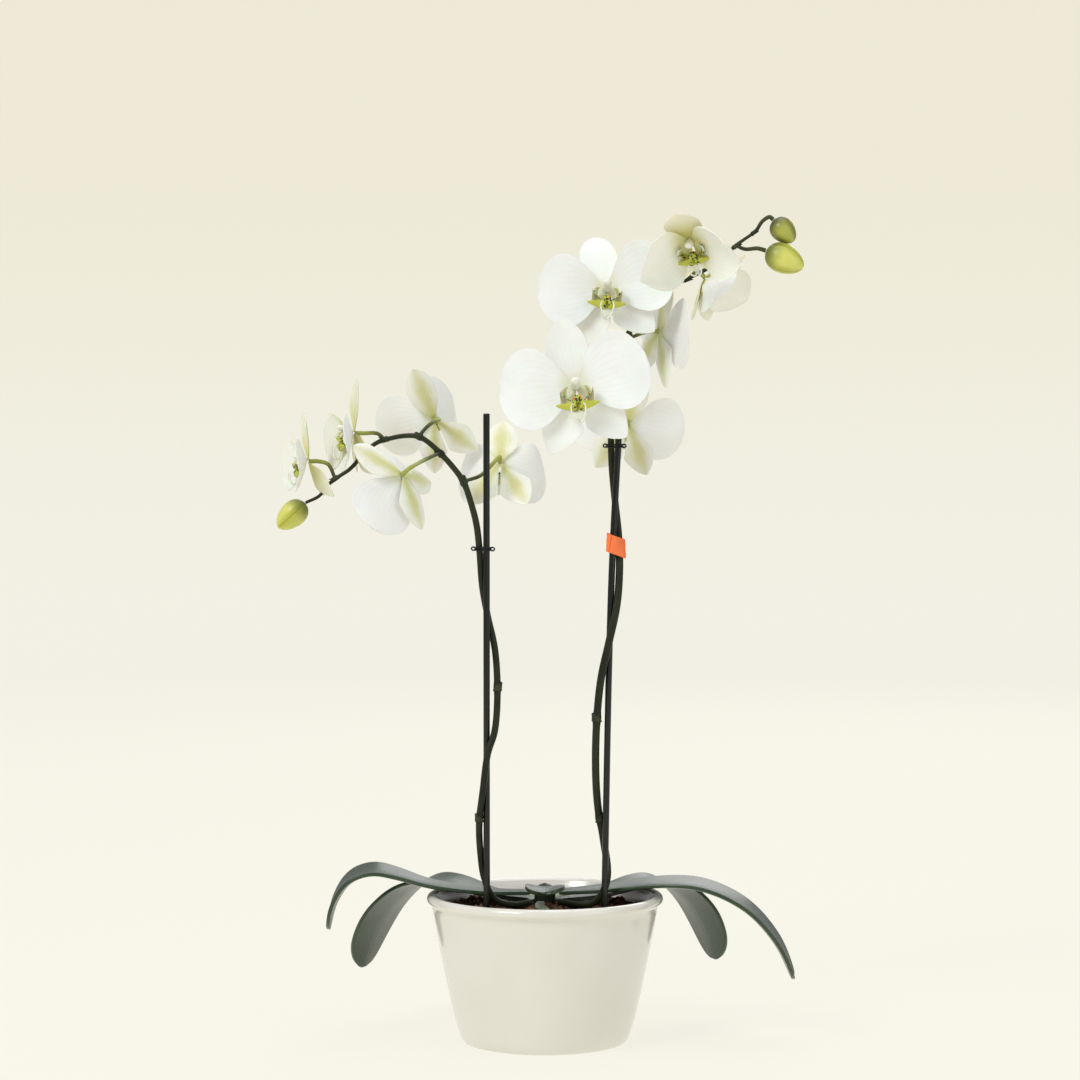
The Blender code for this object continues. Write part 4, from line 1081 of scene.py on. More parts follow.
@dataclass
class Spike:
    """One flower spike: main stem, stalks, and the bracts and swellings at its nodes."""

    name: str
    stem: tuple[Point, ...]
    radius: float
    stalks: tuple[Stalk, ...]
    bare_nodes: tuple[float, ...]
    sweep: Sweep
    tip_radius: float = 1.0
    stalk_radius: float = 1.15
    taper_from: float = 0.45
    swelling: float = 0.20
    swelling_length: float = 2.6

    def radii(self, route: Sequence[Vector], joints: Sequence[Vector]) -> list[float]:
        """The stem's radius at each point: even, then tapering, with a swelling at each joint."""
        result = []
        for i, point in enumerate(route):
            share = max(0.0, (i / (len(route) - 1) - self.taper_from) / (1.0 - self.taper_from))
            radius = self.radius + (self.tip_radius - self.radius) * share
            near = min((point - joint).length for joint in joints)
            result.append(radius * (1.0 + self.swelling * math.exp(-((near / self.swelling_length) ** 2))))
        return result

    def bract(self, name: str, at: Vector, along: Vector, radius: float, facing: Vector) -> bpy.types.Object:
        """A short pointed scale that clasps the stem below a joint.

        Args:
            name: the piece's name.
            at: the joint.
            along: the stem's direction there.
            radius: the stem's radius there.
            facing: the side that the scale is on.

        Returns:
            The scale as a thin piece.
        """
        built = bmesh.new()
        across = (facing - along * facing.dot(along)).normalized()
        third = along.cross(across)
        steps, columns = 6, 10
        rows = []
        for i in range(steps + 1):
            share = i / steps
            open_by = 0.12 + 0.5 * share * share
            half = math.radians(150.0 * (1.0 - share) ** 0.7 + 3.0)
            row = []
            for j in range(columns + 1):
                turn = half * (2.0 * j / columns - 1.0)
                out = radius + open_by
                offset = across * (out * math.cos(turn)) + third * (out * math.sin(turn))
                row.append(built.verts.new(at + along * (6.0 * share - 2.5) + offset))
            rows.append(row)
        for near, far in zip(rows, rows[1:]):
            for j in range(columns):
                built.faces.new((near[j], near[j + 1], far[j + 1], far[j]))
        return settle(thickened(mesh_piece(name, built, (BUD_STALK_SKIN,)), 0.25, offset=1.0))

    def build(self, ends: dict[str, tuple[Vector, Vector]]) -> None:
        """Build the spike.

        Args:
            ends: where each stalk ends and the direction it arrives in, by what it carries.
        """
        route = smooth_route(self.stem, STEM_STEPS)
        joints = [min(route, key=lambda p, s=s: (p - Vector(s.points[0])).length) for s in self.stalks]
        joints += [min(route, key=lambda p, z=z: abs(p.z - z)) for z in self.bare_nodes]
        radii = self.radii(route, joints)
        parts = [self.sweep.run(self.name + "_stem", route, radii, STEM_SKIN)]
        for stalk in self.stalks:
            end, arriving = ends[stalk.carries]
            is_bud = "bud" in stalk.carries
            knots = list(stalk.points) + ([end] if is_bud else [end - arriving * 6.0, end])
            line = smooth_route(knots, 6)
            thick = [self.stalk_radius * (1.0 + 0.3 * i / (len(line) - 1)) for i in range(len(line))]
            skin = BUD_STALK_SKIN if is_bud else PEDICEL_SKIN
            parts.append(self.sweep.run(self.name + "_to_" + stalk.carries, line, thick, skin))
        for k, joint in enumerate(joints):
            i = min(range(1, len(route) - 1), key=lambda n, joint=joint: (route[n] - joint).length)
            along = (route[i + 1] - route[i - 1]).normalized()
            facing = Vector((-1.0, -0.6, 0.2)) if k % 2 else Vector((1.0, -0.5, 0.2))
            if k < len(self.stalks):
                facing = ends[self.stalks[k].carries][0] - joint
            parts.append(self.bract(f"{self.name}_bract_{k}", joint, along, radii[i], facing))
        finish_piece(joined(self.name + "_grown", parts), "stem", self.name)


@dataclass
class Stake:
    """A dark coated cane."""

    name: str
    points: tuple[Point, ...]
    sweep: Sweep
    radius: float = 2.15

    def route(self) -> list[Vector]:
        """The cane's centre line."""
        return smooth_route(self.points, 8)

    def build(self) -> None:
        """Sweep the cane with a slightly rounded top."""
        route = self.route()
        top = route[-1]
        along = (top - route[-2]).normalized()
        route = route[:-1] + [top - along * 0.8, top - along * 0.3, top]
        radii = [self.radius] * (len(route) - 2) + [self.radius * 0.95, self.radius * 0.72]
        finish_piece(self.sweep.run(self.name + "_cane", route, radii, CANE_SKIN), "cane", self.name)


def at_height(route: Sequence[Vector], z: float) -> Vector:
    """The point of a rising route at a height."""
    for a, b in zip(route, route[1:]):
        if a.z <= z <= b.z:
            return a.lerp(b, (z - a.z) / (b.z - a.z))
    return route[-1]


def loop_round(first: Vector, second: Vector, radius: float, count: int) -> list[Vector]:
    """Points round two upright rods: a half circle about each, joined straight."""
    line = second - first
    heading = math.atan2(line.y, line.x)
    points = []
    for centre, start in ((second, heading - math.pi / 2), (first, heading + math.pi / 2)):
        for i in range(count):
            angle = start + math.pi * i / (count - 1)
            points.append(centre + Vector((math.cos(angle), math.sin(angle), 0.0)) * radius)
    return points


@dataclass
class Clip:
    """A spring wire clip round a stake and a stem, with a thumb loop on each side."""

    name: str
    stake: Stake
    stem: tuple[Point, ...]
    height: float
    grip: float
    sweep: Sweep
    wire: float = 0.55

    def thumb(self, name: str, start: Vector, heading: Vector) -> bpy.types.Object:
        """One small upright wire loop."""
        points = []
        for k in range(19):
            turn = 2 * math.pi * k / 18
            out = 1.5 * (1.0 - math.cos(turn))
            points.append(start + heading * out + Vector((0.0, -0.25 * out, 1.1 * math.sin(turn))))
        return self.sweep.run(name, points, [self.wire * 0.9] * len(points), WIRE_SKIN)

    def build(self) -> None:
        """Build the two turns round the rods and the thumb loops."""
        rod = at_height(self.stake.route(), self.height)
        branch = at_height(smooth_route(self.stem, STEM_STEPS), self.height)
        parts = []
        for k, rise in enumerate((-0.75, 0.75)):
            ring = [p + Vector((0.0, 0.0, rise)) for p in loop_round(rod, branch, self.grip + 1.1, 14)]
            thick = [self.wire] * len(ring)
            parts.append(self.sweep.run(f"{self.name}_turn_{k}", ring, thick, WIRE_SKIN, closed=True))
        outward = (branch - rod).normalized()
        for k, (centre, heading) in enumerate(((branch, outward), (rod, -outward))):
            parts.append(self.thumb(f"{self.name}_thumb_{k}", centre + heading * (self.grip + 0.6), heading))
        finish_piece(joined(self.name + "_wire", parts), "wire", self.name)


@dataclass
class Tape:
    """A band of tape round a stake and a stem, a little askew, with its end lapped over."""

    stake: Stake
    stem: tuple[Point, ...]
    height: float
    grip: float
    tall: float = 12.0
    wall: float = 0.6
    slant: float = -0.38
    rows: int = 12
    half_turn: int = 20
    lap: int = 13
    lap_lift: float = 0.75

    def build(self) -> None:
        """Build the band from rings that follow both rods."""
        cane = self.stake.route()
        branch = smooth_route(self.stem, STEM_STEPS)
        built = bmesh.new()
        rings = []
        for i in range(self.rows + 1):
            share = i / self.rows
            height = self.height + self.tall * (share - 0.5)
            rod = at_height(cane, height)
            loop = loop_round(rod, at_height(branch, height), self.grip, self.half_turn)
            ring = []
            for k, point in enumerate(loop):
                pinch = 0.22 * noise.noise(Vector((k * 0.35, share * 3.0, 0.0)))
                out = (point - (rod + at_height(branch, height)) / 2).normalized()
                drop = self.slant * (point.x - rod.x)
                ring.append(built.verts.new(Vector((point.x, point.y, height + drop)) + out * pinch))
            rings.append(ring)
        bridge(built, rings)
        lapped = slice(self.half_turn, self.half_turn + self.lap)
        lifted = [[vert.co + Vector((0.0, -self.lap_lift, 0.0)) for vert in ring[lapped]] for ring in rings]
        for near, far in zip(lifted, lifted[1:]):
            for a, b, c, d in zip(near, near[1:], far[1:], far):
                built.faces.new([built.verts.new(p) for p in (a, b, c, d)])
        obj = thickened(mesh_piece("orange_tape", built, (TAPE_SKIN,)), self.wall)
        finish_piece(settle(obj), "tape", "stem_band")


@dataclass(frozen=True)
class Bud:
    """A closed bud between its neck and its tip."""

    name: str
    neck: Point
    tip: Point
    width: float
    skin: BudFinish

    def base(self) -> Vector:
        """Where its stalk ends."""
        neck = Vector(self.neck)
        return neck + (neck - Vector(self.tip)).normalized() * 0.3

    def build(self) -> None:
        """Build the egg with three grooves between its sepals."""
        neck = Vector(self.neck)
        axis = Vector(self.tip) - neck
        built = bmesh.new()
        built.loops.layers.uv.new("tissue")
        turn = axis.to_track_quat("Z", "Y").to_matrix().to_4x4()
        place = Matrix.Translation(neck) @ turn
        columns, rows = 48, 28
        grid = []
        for i in range(rows + 1):
            polar = math.pi * i / rows
            along = (1.0 - math.cos(polar)) / 2
            row = []
            for j in range(columns):
                angle = 2 * math.pi * j / columns
                radius = 0.5 * math.sin(polar) * (1.0 - 0.30 * along) * self.width * 1.16
                seam = abs(math.sin(1.5 * angle))
                radius *= 1.0 - 0.07 * math.exp(-((seam / 0.16) ** 2)) + 0.025 * seam
                spot = Vector((radius * math.cos(angle), radius * math.sin(angle), axis.length * along))
                row.append(built.verts.new(place @ spot))
            grid.append(row)
        for i, (near, far) in enumerate(zip(grid, grid[1:])):
            for j in range(columns):
                k = (j + 1) % columns
                steps = ((near[j], j, i), (near[k], j + 1, i), (far[k], j + 1, i + 1), (far[j], j, i + 1))
                spots = [(v, (a / columns, (1.0 - math.cos(math.pi * b / rows)) / 2)) for v, a, b in steps]
                mapped_face(built, *spots)
        bmesh.ops.dissolve_degenerate(built, dist=0.0005, edges=built.edges)
        bmesh.ops.recalc_face_normals(built, faces=built.faces)
        finish_piece(mesh_piece(self.name + "_egg", built, (self.skin,)), "bud", self.name)


# ---------------------------------------------------------------- leaves, roots, pot and bark


@dataclass(frozen=True)
class Leaf:
    """A thick strap leaf: direction round +Z, width, and its midline as reach and height."""

    name: str
    direction: float
    width: float
    midline: tuple[tuple[float, float], ...]
    thickness: float = 2.4
    channel: float = 0.11
    rows: int = 48
    columns: int = 16

    def half_width(self, share: float) -> float:
        """Half the width a share of the way along: clasping base, broad middle, round tip."""
        if share < 0.6:
            return self.width / 2 * (0.16 + 0.84 * math.sin(math.pi / 2 * share / 0.6) ** 1.2)
        fall = (share - 0.6) / 0.4
        return self.width / 2 * math.sqrt(max(0.0, 1.0 - fall**2.4))

    def build(self) -> None:
        """Build the blade with a channel, a soft wave at its edges and its own map."""
        turn = math.radians(self.direction)
        out = Vector((math.cos(turn), math.sin(turn), 0.0))
        aside = Vector((-math.sin(turn), math.cos(turn), 0.0))
        route = smooth_route([(reach, 0.0, z) for reach, z in self.midline], 6)
        built = bmesh.new()
        built.loops.layers.uv.new("tissue")
        grid = []
        for i in range(self.rows + 1):
            share = 1.0 - (1.0 - i / self.rows) ** 1.25
            place = share * (len(route) - 1)
            low = min(int(place), len(route) - 2)
            point = route[low].lerp(route[low + 1], place - low)
            slope = (route[min(low + 1, len(route) - 1)] - route[max(low - 1, 0)]).normalized()
            normal = out * -slope.z + Vector((0.0, 0.0, slope.x))
            centre = out * point.x + Vector((0.0, 0.0, point.z))
            half = max(0.2, self.half_width(share))
            row = []
            for j in range(self.columns + 1):
                across = math.sin(math.pi / 2 * (2.0 * j / self.columns - 1.0))
                rise = self.channel * half * abs(across) ** 1.5
                rise += 0.5 * across * across * math.sin(7.0 * share + self.direction + across)
                row.append((built.verts.new(centre + aside * (half * across) + normal * rise),
                            ((across + 1.0) / 2, share)))
            grid.append(row)
        mapped_grid(built, grid)
        bmesh.ops.recalc_face_normals(built, faces=built.faces)
        obj = thickened(mesh_piece(self.name + "_blade", built, (LEAF_SKIN,)), self.thickness)
        finish_piece(subdivided(obj), "leaf", self.name)


@dataclass(frozen=True)
class AerialRoot:
    """A velvety root over the bark."""

    name: str
    points: tuple[Point, ...]
    radius: float = 2.6

    def build(self, sweep: Sweep) -> None:
        """Sweep the root with an uneven thickness and a blunt tip."""
        route = smooth_route(self.points, 9)
        last = len(route) - 1
        radii = []
        for i in range(len(route)):
            share = i / last
            blunt = math.sqrt(max(0.03, 1.0 - max(0.0, (share - 0.93) / 0.07) ** 2))
            uneven = 1.0 + 0.05 * math.sin(9.0 * share + self.points[0][0])
            radii.append(self.radius * (1.0 - 0.3 * share) * blunt * uneven)
        finish_piece(sweep.run(self.name + "_skin", route, radii, ROOT_SKIN), "root", self.name)


def lathe(name: str, profile: Sequence[tuple[float, float]], steps: int, skin: Finish) -> bpy.types.Object:
    """Turn a profile of radius and height about +Z into a closed mesh."""
    built = bmesh.new()
    turned(built, profile, steps)
    bmesh.ops.recalc_face_normals(built, faces=built.faces)
    return mesh_piece(name, built, (skin,))


@dataclass
class Pot:
    """The plain glazed pot, smooth all round."""

    height: float = 98.0
    rim: float = 78.0
    foot: float = 54.0
    wall: float = 4.5
    floor: float = 6.0
    lip: float = 2.0
    steps: int = 160

    def flare(self, z: float, foot: float, rim: float) -> float:
        """The wall's radius at a height."""
        return foot + (rim - foot) * (max(z, 0.0) / self.height) ** 0.75

    def profile(self) -> list[tuple[float, float]]:
        """The section from the floor's middle, over the lip and under the foot."""
        bead = (self.wall + self.lip) / 2
        inner_foot = self.foot - self.wall
        inner_rim = self.rim - self.lip - self.wall
        top = self.height - bead
        points = [(0.0, self.floor), (inner_foot - 4.0, self.floor), (inner_foot - 1.2, self.floor + 0.8)]
        for k in range(17):
            z = 9.5 + (top - 9.5) * k / 16
            points.append((min(self.flare(z, inner_foot, inner_rim), self.rim - 2 * bead), z))
        for k in range(1, 25):
            angle = math.radians(180.0 - 225.0 * k / 24)
            points.append((self.rim - bead + bead * math.cos(angle), top + bead * math.sin(angle)))
        for k in range(22):
            z = (top - bead * 1.3) * (1.0 - k / 21) + 3.0 * k / 21
            points.append((self.flare(z, self.foot, self.rim - self.lip), z))
        points += [(self.foot + 0.6, 1.6), (self.foot - 0.4, 0.5), (self.foot - 1.8, 0.0)]
        points += [(self.foot - 7.0, 0.0), (self.foot - 8.0, 0.8), (0.0, 0.8)]
        return points

    def build(self) -> None:
        """Turn the pot."""
        finish_piece(lathe("glazed_pot", self.profile(), self.steps, GLAZE_SKIN), "glaze", "pot")


@dataclass
class BarkBed:
    """Loose bark chips scattered over the growing medium by geometry nodes."""

    bed_radius: float = 66.0
    top: float = 86.4
    mound: float = 1.8
    spacing: float = 5.2
    chip: Point = (0.013, 0.008, 0.0034)
    seed: int = 7

    def bed(self) -> bpy.types.Object:
        """The surface that the chips lie on."""
        built = bmesh.new()
        bmesh.ops.create_grid(built, x_segments=30, y_segments=30, size=self.bed_radius)
        far = [v for v in built.verts if math.hypot(v.co.x, v.co.y) > self.bed_radius]
        bmesh.ops.delete(built, geom=far, context="VERTS")
        for vert in built.verts:
            share = min(1.0, math.hypot(vert.co.x, vert.co.y) / self.bed_radius)
            vert.co.z = self.top + self.mound * (1.0 - share)
        return mesh_piece("bark_bed", built, (BARK_SKIN,))

    def tree(self) -> tuple[bpy.types.NodeTree, dict]:
        """Scatter, turn and roughen the chips."""
        sockets = {"Spacing": "NodeSocketFloat", "Seed": "NodeSocketInt", "Skin": "NodeSocketMaterial"}
        tree, g, start, names = geometry_tree("bark_chips", sockets)
        spread = g.add(
            "GeometryNodeDistributePointsOnFaces",
            {"Mesh": start.outputs[0], "Distance Min": start.outputs["Spacing"], "Density Max": 60000.0,
             "Seed": start.outputs["Seed"]}, distribute_method="POISSON")
        chip = g.add("GeometryNodeMeshCube", {
            "Size": self.chip, "Vertices X": 4, "Vertices Y": 3, "Vertices Z": 2})
        tilt = g.add("FunctionNodeRandomValue", {0: (-0.45, -0.45, 0.0), 1: (0.45, 0.45, 6.283), "Seed": 3},
                     data_type="FLOAT_VECTOR")
        size = g.add("FunctionNodeRandomValue", {0: (0.55, 0.55, 0.6), 1: (1.35, 1.2, 1.3), "Seed": 5},
                     data_type="FLOAT_VECTOR")
        placed = g.add("GeometryNodeInstanceOnPoints", {
            "Points": spread.outputs[0], "Instance": chip.outputs[0], "Rotation": tilt.outputs[0],
            "Scale": size.outputs[0]})
        real = g.add("GeometryNodeRealizeInstances", {0: placed.outputs[0]})
        where = g.add("GeometryNodeInputPosition")
        inputs = {0: g.noise(where.outputs[0], 210.0, 2.0)[1], 1: (0.5, 0.5, 0.5)}
        centred = g.add("ShaderNodeVectorMath", inputs, operation="SUBTRACT")
        push = g.add("ShaderNodeVectorMath", {0: centred.outputs[0], "Scale": 0.0085}, operation="SCALE")
        moved = g.add("GeometryNodeSetPosition", {"Geometry": real.outputs[0], "Offset": push.outputs[0]})
        skin = g.add("GeometryNodeSetMaterial", {0: moved.outputs[0], "Material": start.outputs["Skin"]})
        g.add("NodeGroupOutput", {0: skin.outputs[0]})
        return tree, names

    def build(self) -> None:
        """Scatter the chips and dress the medium below them."""
        tree, names = self.tree()
        bed = self.bed()
        modifier = bed.modifiers.new("chips", "NODES")
        modifier.node_group = tree
        modifier[names["Spacing"]] = self.spacing * MM
        modifier[names["Seed"]] = self.seed
        modifier[names["Skin"]] = BARK_SKIN.material()
        chips = settle(bed)
        chips.name = "bark_chips"
        finish_piece(chips, "bark")
        dress_node("bark_medium", SOIL_SKIN)


def dress_node(node: str, skin: Finish) -> None:
    """Give a CAD node a better material."""
    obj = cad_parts[node]
    obj.data.materials.clear()
    obj.data.materials.append(skin.material())
    LOG.info("%s dressed as %s", node, skin.name)


# ---------------------------------------------------------------- the plant


FLOWERS = (
    Flower("left_flower_1", (-29.6, 0.0, 383.0), 177.0, -30.0, 0.0, 79.0,
           dorsal=(10.0, 14.0), petal=(22.0, 45.0), spread=30.0, petal_angle=-4.0),
    Flower("left_flower_2", (-72.6, 0.0, 411.0), -150.0, 0.0, -24.0, 76.0,
           dorsal=(0.0, 8.0), lateral=(-14.0, 5.0), petal=(42.0, -5.0), spread=30.0, petal_angle=4.0),
    Flower("left_flower_3", (-90.8, -79.0, 376.5), -133.0, -33.0, -52.0, 78.0,
           lateral=(16.0, 5.0), petal=(30.0, 0.0), petal_angle=0.0),
    Flower("left_flower_4", (-123.4, -32.0, 402.2), -75.0, 0.0, 0.0, 75.0,
           dorsal=(-9.0, 12.0), lateral=(-16.0, 10.0), petal=(15.0, 0.0), spread=44.0, petal_angle=-24.0,
           age=Age.YOUNG),
    Flower("left_flower_5", (-153.2, -32.0, 384.0), -76.0, 0.0, 0.0, 66.0,
           dorsal=(0.0, 12.0), lateral=(-30.0, 6.0), petal=(18.0, 0.0), petal_angle=-14.0, age=Age.YOUNG),
    Flower("right_flower_1", (39.4, -36.0, 494.2), 4.0, 6.0, 11.0, 86.0,
           dorsal=(-14.0, -20.0), spread=39.0, petal_angle=6.0, lip_roll=-14.5),
    Flower("right_flower_2", (19.6, -70.0, 431.5), 0.0, 0.0, 13.0, 95.0, spread=33.0, petal_angle=7.0,
           lip_roll=-6.5),
    Flower("right_flower_3", (74.3, -4.0, 468.6), 112.0, 0.0, 16.0, 84.0,
           dorsal=(0.0, 0.0), petal=(3.0, -6.0)),
    Flower("right_flower_4", (92.4, -70.0, 526.0), -3.0, -42.0, 14.0, 84.0,
           dorsal=(18.0, 18.0), lateral=(0.0, 4.0), petal=(40.0, 4.0), petal_angle=-3.0, age=Age.YOUNG),
    Flower("right_flower_5", (104.0, -20.0, 503.0), 65.0, -42.0, 0.0, 66.0,
           dorsal=(14.0, 16.0), lateral=(28.0, 8.0), petal=(44.0, 0.0), spread=32.0, petal_angle=6.0,
           age=Age.YOUNG),
    Flower("right_flower_6", (54.4, -4.0, 408.4), 178.0, 0.0, 8.0, 76.0,
           petal=(18.0, 0.0), spread=28.0, petal_angle=-6.0),
)

LEFT_STAKE = ((-38.0, -28.0, 12.35), (-38.0, -28.0, 415.0))
RIGHT_STAKE = ((37.5, -28.0, 12.35), (43.0, -28.5, 300.0), (48.5, -28.0, 414.0))

LEFT_STEM = (
    (-9.5, -7.0, 93.0), (-21.0, -15.0, 92.5), (-33.0, -21.0, 97.0), (-39.6, -23.2, 111.0),
    (-42.2, -25.6, 129.0), (-42.9, -28.0, 148.0), (-40.4, -32.2, 170.0), (-37.2, -33.0, 194.0),
    (-32.8, -30.8, 208.0), (-31.0, -28.0, 232.0), (-32.6, -24.8, 261.0), (-37.6, -23.0, 284.0),
    (-40.9, -24.0, 303.0), (-42.6, -25.6, 326.0), (-44.6, -27.0, 343.0), (-48.3, -27.5, 357.5),
    (-53.2, -27.5, 371.0), (-60.5, -27.0, 381.0), (-68.3, -27.0, 389.4), (-75.4, -26.5, 396.0),
    (-82.2, -26.0, 400.0), (-90.4, -25.5, 400.5), (-101.4, -26.0, 398.6), (-110.0, -28.0, 395.5),
    (-119.0, -30.5, 387.0), (-126.5, -32.0, 379.0), (-133.9, -32.0, 374.0), (-140.4, -32.0, 369.0),
    (-146.5, -32.0, 361.5),
)
RIGHT_STEM = (
    (9.5, -7.0, 93.0), (22.0, -15.0, 92.5), (34.0, -20.5, 96.0), (40.6, -23.6, 111.0),
    (38.2, -22.8, 137.0), (34.6, -24.8, 158.0), (33.0, -28.0, 184.0), (33.8, -29.6, 217.0),
    (36.6, -32.2, 244.0), (41.4, -33.6, 266.0), (46.6, -31.4, 290.0), (48.4, -27.8, 312.0),
    (48.0, -24.8, 334.0), (45.6, -23.2, 358.0), (43.4, -23.9, 382.0), (43.0, -25.6, 403.0),
    (44.6, -25.6, 424.0), (48.0, -25.0, 444.0), (55.0, -24.0, 468.5), (66.0, -23.0, 484.5),
    (81.6, -22.0, 497.0), (90.0, -21.0, 501.5), (105.3, -20.0, 509.0), (116.0, -20.0, 517.0),
    (126.0, -20.0, 525.5), (138.5, -20.0, 534.0),
)

LEFT_STALKS = (
    Stalk("left_flower_1", ((-52.7, -27.5, 371.0), (-42.0, -21.5, 374.5))),
    Stalk("left_flower_2", ((-82.2, -26.0, 400.0), (-76.0, -24.0, 407.0))),
    Stalk("left_flower_3", ((-68.3, -27.0, 389.4), (-76.0, -48.0, 386.0))),
    Stalk("left_flower_4", ((-104.0, -26.5, 398.0), (-109.0, -28.5, 402.0))),
    Stalk("left_flower_5", ((-136.0, -32.0, 372.6), (-140.5, -32.0, 382.0))),
)
RIGHT_STALKS = (
    Stalk("right_flower_1", ((62.0, -23.4, 479.5), (49.5, -24.0, 492.0))),
    Stalk("right_flower_2", ((46.0, -25.4, 432.0), (32.0, -42.0, 436.0))),
    Stalk("right_flower_3", ((53.6, -24.2, 463.5),)),
    Stalk("right_flower_4", ((107.0, -20.0, 510.5), (103.0, -32.0, 528.0))),
    Stalk("right_flower_5", ((92.0, -20.9, 502.4),)),
    Stalk("right_flower_6", ((43.4, -25.6, 408.0), (49.0, -17.0, 412.0))),
    Stalk("right_bud_1", ((137.0, -20.0, 533.0), (141.5, -20.0, 540.0), (146.0, -20.0, 542.5))),
    Stalk("right_bud_2", ((124.0, -20.0, 524.0), (130.0, -22.0, 521.6), (138.0, -23.5, 522.0))),
)

BUDS = (
    Bud("left_bud", (-155.5, -32.0, 357.0), (-173.0, -33.0, 341.0), 16.5, BUD_SKIN),
    Bud("right_bud_1", (148.5, -20.0, 540.5), (161.5, -22.0, 526.5), 15.5, DARK_BUD_SKIN),
    Bud("right_bud_2", (143.5, -24.0, 520.5), (167.5, -26.0, 509.5), 19.0, BUD_SKIN),
)

LEAVES = (
    Leaf("leaf_1", 180.0, 54.0, ((9.0, 98.5), (40.0, 98.5), (78.0, 103.0), (98.0, 108.5), (114.0, 111.0),
                                 (128.0, 106.0), (138.0, 92.0), (143.0, 74.0))),
    Leaf("leaf_2", 358.0, 60.0, ((9.0, 98.5), (40.0, 100.0), (78.0, 103.5), (105.0, 101.0), (132.0, 88.0),
                                 (152.0, 66.0), (164.0, 42.0))),
    Leaf("leaf_3", 151.0, 50.0, ((9.0, 92.5), (40.0, 94.0), (78.0, 100.2), (98.0, 97.0), (120.0, 80.0),
                                 (134.0, 58.0), (141.0, 38.0))),
    Leaf("leaf_4", 29.0, 48.0, ((9.0, 92.5), (40.0, 94.0), (78.0, 100.2), (96.0, 97.0), (114.0, 82.0),
                                (126.0, 62.0), (132.0, 44.0))),
    Leaf("leaf_5", 270.0, 26.0, ((8.5, 101.0), (22.0, 104.5), (36.0, 106.0), (50.0, 104.5))),
)

ROOTS = (
    AerialRoot("aerial_root_1", ((-2.0, -9.5, 91.5), (-4.0, -24.0, 93.5), (2.0, -42.0, 91.5),
                                 (0.0, -58.0, 89.4))),
    AerialRoot("aerial_root_2", ((3.5, 10.5, 91.5), (12.0, 28.0, 93.0), (10.0, 46.0, 91.5),
                                 (3.0, 60.0, 89.4))),
    AerialRoot("aerial_root_3", ((-4.5, 10.0, 91.5), (-15.0, 30.0, 92.5), (-21.0, 48.0, 89.6))),
)


# ---------------------------------------------------------------- studio


@dataclass(frozen=True)
class SoftLight:
    """A large area light aimed at the plant's middle."""

    name: str
    place: Point
    size: float
    watts: float
    colour: Colour = (1.0, 0.995, 0.985)
    target: Point = (0.0, 0.0, 0.35)

    def build(self) -> None:
        """Add the light."""
        lamp = bpy.data.lights.new(self.name, "AREA")
        lamp.shape = "DISK"
        lamp.size = self.size
        lamp.energy = self.watts
        lamp.color = self.colour
        obj = bpy.data.objects.new(self.name, lamp)
        obj.location = self.place
        aim = Vector(self.target) - Vector(self.place)
        obj.rotation_euler = aim.to_track_quat("-Z", "Y").to_euler()
        bpy.context.scene.collection.objects.link(obj)


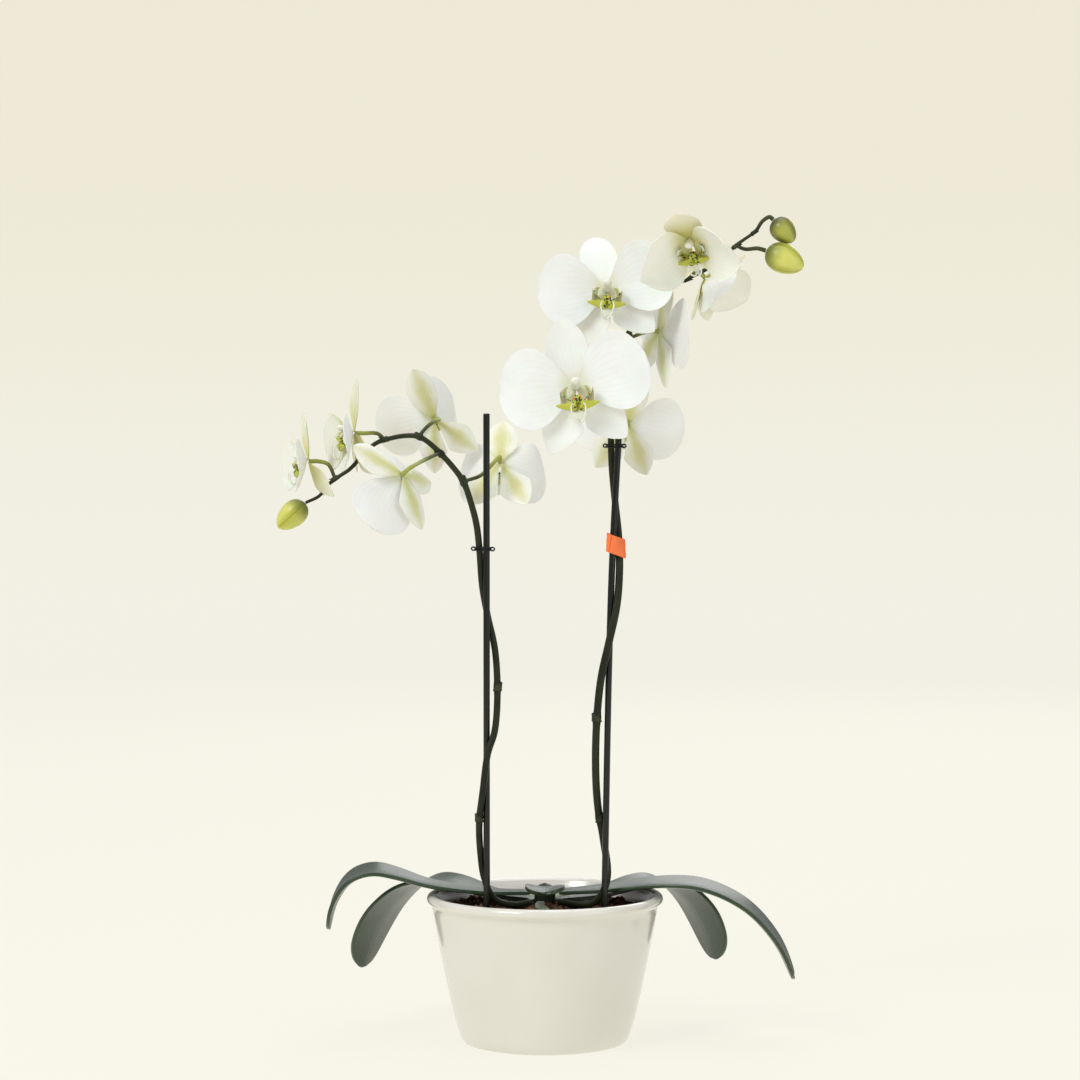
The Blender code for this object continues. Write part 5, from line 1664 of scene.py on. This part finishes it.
@dataclass
class Studio:
    """Pale floor and backdrop, soft light and the camera."""

    backdrop: Colour = (0.89, 0.86, 0.71)
    floor: Colour = (0.95, 0.935, 0.835)
    floor_radius: float = 3.0
    bend_radius: float = 0.8
    wall_height: float = 6.0
    glow: float = 0.86
    room_light: float = 0.45
    camera_place: Point = (-0.00325, -2.3258109, 0.4331246)
    pitch: float = 87.5
    lens: float = 117.949
    lights: tuple[SoftLight, ...] = (
        SoftLight("key", (-1.5, -1.7, 2.1), 1.1, 38.0),
        SoftLight("fill", (1.9, -1.6, 0.9), 1.8, 9.0),
        SoftLight("top", (0.2, 0.3, 2.4), 1.8, 16.0),
        SoftLight("rear", (0.6, 2.2, 1.4), 1.6, 12.0),
    )

    def round_sheet(self, name: str, section: list[tuple[float, float]]) -> bpy.types.Object:
        """A round sheet about the object, in pale paper.

        Args:
            name: Its name.
            section: Radius and height of each ring, from the inside out.

        Returns:
            The sheet.
        """
        built = bmesh.new()
        turn = [k * math.tau / 96 for k in range(96)]
        rings = [[built.verts.new((r * math.cos(a), r * math.sin(a), z)) for a in turn] for r, z in section]
        bridge(built, rings)
        mesh = bpy.data.meshes.new(name)
        built.to_mesh(mesh)
        built.free()
        mesh.shade_smooth()
        mesh.materials.append(self.paper())
        return link(name, mesh)

    def surround(self) -> bpy.types.Object:
        """The wall that the floor curves up into, all the way round.

        Every side has the same backdrop. Only the camera sees it: the room's soft light passes through.

        Returns:
            The wall.
        """
        bend = self.bend_radius
        angles = [k * math.pi / 24 for k in range(13)]
        section = [(self.floor_radius + bend * math.sin(a), bend - bend * math.cos(a)) for a in angles]
        wall = self.round_sheet("surround", [*section, (self.floor_radius + bend, self.wall_height)])
        wall.visible_diffuse = wall.visible_glossy = wall.visible_transmission = wall.visible_shadow = False
        return wall

    def paper(self) -> bpy.types.Material:
        """Pale paper that glows a little, so that it stays even."""
        made = bpy.data.materials.new("pale_paper")
        made.use_nodes = True
        g = Graph(made.node_tree)
        shader = made.node_tree.nodes["Principled BSDF"]
        shader.inputs["Roughness"].default_value = 1.0
        shader.inputs["Specular IOR Level"].default_value = 0.0
        height = g.add("ShaderNodeSeparateXYZ", {0: g.add("ShaderNodeTexCoord").outputs["Object"]}).outputs[2]
        colour = g.mix(g.ramp(height, 0.0, 0.86), self.floor, self.backdrop)
        shader.inputs["Base Color"].default_value = (0.12, 0.118, 0.10, 1.0)
        g.feed(shader.inputs["Emission Color"], colour)
        shader.inputs["Emission Strength"].default_value = self.glow
        return made

    def build(self) -> None:
        """Set the stage."""
        floor = self.round_sheet("floor", [(0.001, 0.0), (0.6, 0.0), (self.floor_radius, 0.0)])
        self.surround()
        for light in self.lights:
            light.build()
        world = bpy.data.worlds.new("soft_room")
        world.use_nodes = True
        background = world.node_tree.nodes["Background"]
        background.inputs["Color"].default_value = (0.97, 0.985, 1.0, 1.0)
        background.inputs["Strength"].default_value = self.room_light
        bpy.context.scene.world = world
        bpy.context.scene.view_settings.view_transform = "Standard"
        lens = bpy.data.cameras.new("view")
        lens.lens = self.lens
        lens.sensor_width = 36.0
        camera = bpy.data.objects.new("view", lens)
        camera.location = self.camera_place
        camera.rotation_euler = (math.radians(self.pitch), 0.0, 0.0)
        bpy.context.scene.collection.objects.link(camera)
        bpy.context.scene.camera = camera


def main() -> None:
    """Build every piece in order."""
    logging.basicConfig(level=logging.INFO, format="%(name)s: %(message)s")
    Studio().build()
    stem_sweep = Sweep(sides=18)
    wire_sweep = Sweep(sides=12)
    Pot().build()
    BarkBed().build()
    dress_node("crown", STEM_SKIN)
    for leaf in LEAVES:
        leaf.build()
    for root in ROOTS:
        root.build(stem_sweep)
    left_stake = Stake("left_stake", LEFT_STAKE, stem_sweep)
    right_stake = Stake("right_stake", RIGHT_STAKE, stem_sweep)
    left_stake.build()
    right_stake.build()
    ends = {}
    for flower in FLOWERS:
        facing = (flower.matrix().to_3x3() @ Vector((0.0, 0.0, 1.0))).normalized()
        ends[flower.name] = (Vector(flower.hub) - facing * 0.4, facing)
    for bud in BUDS:
        ends[bud.name] = (bud.base(), Vector((0.0, 0.0, 0.0)))
        bud.build()
    left_stem = (*LEFT_STEM, tuple(BUDS[0].base()))
    Spike("left_spike", left_stem, LEFT_STEM_RADIUS, LEFT_STALKS, (150.0, 235.0), stem_sweep).build(ends)
    Spike("right_spike", RIGHT_STEM, RIGHT_STEM_RADIUS, RIGHT_STALKS, (150.0, 217.0), stem_sweep).build(ends)
    Clip("left_clip", left_stake, LEFT_STEM, 327.0, LEFT_STEM_RADIUS, wire_sweep).build()
    Clip("right_clip", right_stake, RIGHT_STEM, 394.0, RIGHT_STEM_RADIUS, wire_sweep).build()
    Tape(right_stake, RIGHT_STEM, height=330.0, grip=4.0).build()
    for flower in FLOWERS:
        Bloom(flower, wire_sweep).build()


if __name__ == "__main__":
    main()
